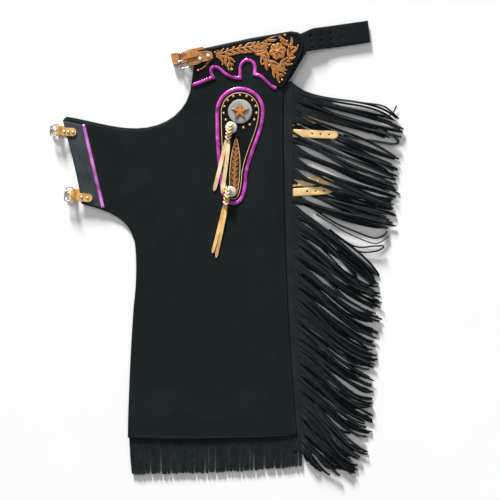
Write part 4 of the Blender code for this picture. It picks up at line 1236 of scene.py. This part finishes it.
def make_knot(string, height):
    """A braided knot: chevrons stacked down its length, over a darker ribbon of painted shade that shows between them.
    """
    start, end = (Vector(p) for p in string["knot"])
    along = (end - start).normalized()
    turns = round((end - start).length / CHEVRON_PITCH)
    parts = []
    for i in range(turns):
        middle = start.lerp(end, (i + 0.5) / turns)
        for s in (1, -1):
            line = []
            for across, down, rise in CHEVRON_ARM:
                spot = middle + along.orthogonal() * CHEVRON_HALF * across * s + along * down
                line.append(raised(spot, height, rise + 0.25 * s))
            line = catmull(line, 4)
            parts.append(tube_mesh(line, [CHEVRON_RADIUS] * len(line), flatten=0.7))
    # a darker ribbon under the chevrons, painted shade in the gaps of the braid
    painted_shade_core = [raised(start.lerp(end, t), height, 1.4) for t in fractions(8)]
    name = string["name"]
    new_piece(f"knot_{name}_core", ribbon_mesh(painted_shade_core, [9] * 9, 2.2, [0] * 9), "painted_shade_core")
    new_piece(f"knot_{name}", joined(parts), "string", f"string_knot_{name}", sharp=70)


def make_tail(string, number, start, end, height):
    """One loose tail of a string, with a slant cut at its tip."""
    width = string["width"]
    a, b = Vector(start), Vector(end)
    side = (b - a).orthogonal().normalized()
    line = []
    for t in fractions(24):
        spot = a.lerp(b, t) + side * 1.6 * math.sin(2.6 * t + number) * t
        line.append(raised(spot, height, 0.8 + 0.5 * number * (1 - t)))
    widths = [width * (0.62 + 0.38 * smooth(6 * t)) for t in fractions(24)]
    widths[-1], widths[-2] = 0.35 * width, 0.8 * width
    rolls = [0.16 * math.sin(number * 2 + 5 * t) for t in fractions(24)]
    name = f"{string['name']}_{number}"
    ribbon = ribbon_mesh(line, widths, 1.6, rolls)
    piece = new_piece(f"string_{name}", ribbon, string["look"], f"string_tail_{name}")
    path = [tuple(c * MM for c in p) for p in line]
    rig.cord(piece, exit=path[0], length=length_of(path), diameter=width * MM, far_end="bare",
            stiffness="limp", lay="loose", path=path)


def make_conchos_and_strings():
    for concho in CONCHOS:
        make_concho(concho)
    for concho in CONCHOS:
        height = string_height(concho["lift"])
        make_knot(concho, height)
        for number, (start, end) in enumerate(concho["tails"], start=1):
            make_tail(concho, number, start, end, height)


# ---- straps, belts and metal

HOLE_WEAR = 1.3  # how much wider the punched holes are than the CAD's


def strap(node, thickness, look, step=7, round_over=0.5):
    """A flat strap cut to its CAD outline, with its holes, under its CAD upper face."""
    outline, *holes = cad_outline(node)
    loops = [outline]
    for hole in holes:
        centre = np.mean(hole, axis=0)
        loops.append([tuple(centre + (np.array(p) - centre) * HOLE_WEAR) for p in hole])
    return thin_sheet(node + "_leather", node, cad_top(node), thickness, look, loops, step, step,
                      round_over=round_over)


def rivet_dark_ring(node):
    """A dark disc under a rivet head, a little wider than it."""
    low, high = (np.array(corner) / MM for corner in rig.box(node))
    radius = (high[0] - low[0]) / 2 + 1.1
    return carved_dome((low + high)[:2] / 2, radius, lambda x, y: low[2] - 0.4, 0.5, 20)


def make_straps_and_metal():
    dark_rings = []
    for side in ("left", "right"):
        for place in ("upper", "lower"):
            strap(f"{side}_billet_{place}", STRAP, "strap")
    dressed("right_waist_billet", "waist_billet_leather", "waist")
    dressed("waist_chape", "waist_chape_leather", "waist")
    for node in frame["nodes"]:
        if "thigh_chape" in node:
            dressed(node, node + "_leather", "chape")
        elif "frame" in node or "tongue" in node:
            dressed(node, node + "_metal", "nickel", 0.3)
        elif "rivet" in node or "screw" in node:
            dressed(node, node + "_metal", "concho", 0.2)
            dark_rings.append(rivet_dark_ring(node))
    new_piece("rivet_dark_rings", joined(dark_rings), "ground", sharp=70)
    for node in ("left_belt", "right_belt"):
        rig.sheet(strap(node, BELT, "belt", 9, 0.7), **flat_size(node), held="laid")


# ---- stitching

CHAPE_TIP = Vector((-31.8, 430.5))
CHAPE_HEADING = 190.5
CHAPE_STITCHES = ((4, 5.25), (12, 10.5), (30, 10.5), (46, 10.5))  # from the tip, from the middle


def make_stitches():
    seam = [(seam_x(y) - 3.2, y) for y in np.linspace(338, -416, 41)]
    hem = [(x, hem_y(x) + 4) for x in range(-214, 150, 8)]
    stitched("panel_stitches", [seam, hem], on_leg(0.1))
    stitched("yoke_stitches", [inset_line("left_yoke", 3)], on_leg(GAP + TRIM + 0.1))
    billet = "right_waist_billet"
    stitched("waist_billet_stitches", [inset_line(billet, 2.6)], cad_top(billet), "tan_thread", 3.2)
    run = direction(CHAPE_HEADING)
    aside = run.orthogonal()
    sides = [[CHAPE_TIP + run * far + aside * off * s for far, off in CHAPE_STITCHES] for s in (1, -1)]
    stitched("waist_chape_stitches", sides, cad_top("waist_chape"), "tan_thread", 3.2)
    stitched("band_stitches", [inset_line("left_thigh_band", 2.6)], lambda x, y: band_top(x, y) + 0.1)


# ---- camera, light and floor

SUN_ELEVATION = 13  # low, so that it throws the long soft shadow
SUN_BEARING = 106


def add_lamp(name, kind, towards, **settings):
    """A lamp at a place, or from a direction, that is aimed at the middle."""
    data = bpy.data.lights.new(name, kind)
    for key, value in settings.items():
        setattr(data, key, value)
    lamp = linked(name, data)
    lamp.location = towards
    lamp.rotation_euler = (-Vector(towards)).to_track_quat("-Z", "Y").to_euler()


def make_camera_and_light():
    scene = bpy.context.scene
    camera = linked("camera", bpy.data.cameras.new("camera"))
    camera.data.lens = 36 * CAMERA_HEIGHT / VIEW_WIDTH
    camera.data.sensor_width = 36
    camera.data.clip_end = 20
    camera.location = (VIEW_CENTRE[0] * MM, VIEW_CENTRE[1] * MM, CAMERA_HEIGHT * MM)
    scene.camera = camera
    world = bpy.data.worlds.new("studio")
    world.use_nodes = True
    sky = world.node_tree.nodes["Background"].inputs
    sky["Color"].default_value = (1, 1, 1, 1)
    sky["Strength"].default_value = 0.26
    scene.world = world
    add_lamp("key", "AREA", (-1.1, 1.5, 2.2), size=1.4, energy=11)
    add_lamp("fill", "AREA", (1.6, -0.9, 2), size=2, energy=4.5)
    level, rise = direction(SUN_ELEVATION)
    add_lamp("low", "SUN", (*(direction(SUN_BEARING) * level), rise), energy=9.3, angle=math.radians(9))
    scene.view_settings.view_transform = "Standard"


def make_floor():
    s = Shader("floor", 0.8)
    s.colour(s.ramp(s.noise(300), [(0.3, (0.93, 0.93, 0.93)), (0.7, (0.95, 0.95, 0.95))]))
    mesh = bpy.data.meshes.new("floor")
    mesh.from_pydata([(-6, -6, 0), (6, -6, 0), (6, 6, 0), (-6, 6, 0)], [], [(0, 1, 2, 3)])
    mesh.materials.append(s.material)
    floor = linked("floor", mesh)
    floor.location.z = -0.0002
    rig.stage(floor)


# ---- all of it


def main():
    make_camera_and_light()
    make_floor()
    panel = thin_sheet("left_panel", "left_leg_panel", leg_top, LEATHER, "black", step=8)
    under = thin_sheet("right_panel", "right_leg_panel", right_top, LEATHER, "black", step=14, edge_step=6)
    fringes = [make_strips(**fringe) for fringe in SIDE_FRINGES]
    high, low = make_header("left", high_header), make_header("right", low_header)
    strays = make_strays()
    left_hem = make_hem_fringe("left", high_hem, 84)
    right_hem = make_hem_fringe("right", low_hem, 80)
    yoke, right_yoke, carving, yoke_piping = make_yokes()
    band = thin_sheet("thigh_band", "left_thigh_band", band_top, OVERLAY, "band", step=4)
    # the thigh piping takes the lighter foil copy, a painted highlight
    thigh_piping = piping("thigh_piping", "left_thigh_piping", "painted_highlight_foil", 1.2)
    applique = make_applique()
    make_conchos_and_strings()
    make_straps_and_metal()
    make_stitches()
    leg = flat_size("left_leg_panel")
    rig.sheet(panel, **leg, held="laid", rests_on=[under],
             with_pieces=[left_hem, high, strays, yoke, carving, yoke_piping, band, thigh_piping, *applique])
    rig.sheet(under, **leg, held="laid", with_pieces=[right_hem, low, right_yoke])
    for strips, area in fringes:
        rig.sheet(strips, flat=(FRINGE_LENGTH * MM, HEADER_LENGTH * MM), area=area * MM * MM, held="laid")


main()
with open("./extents.json", "w") as size_file:
    json.dump({"cad": [list(c) for c in CAD_BOX], "visual": [list(c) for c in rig.bounds()]}, size_file)
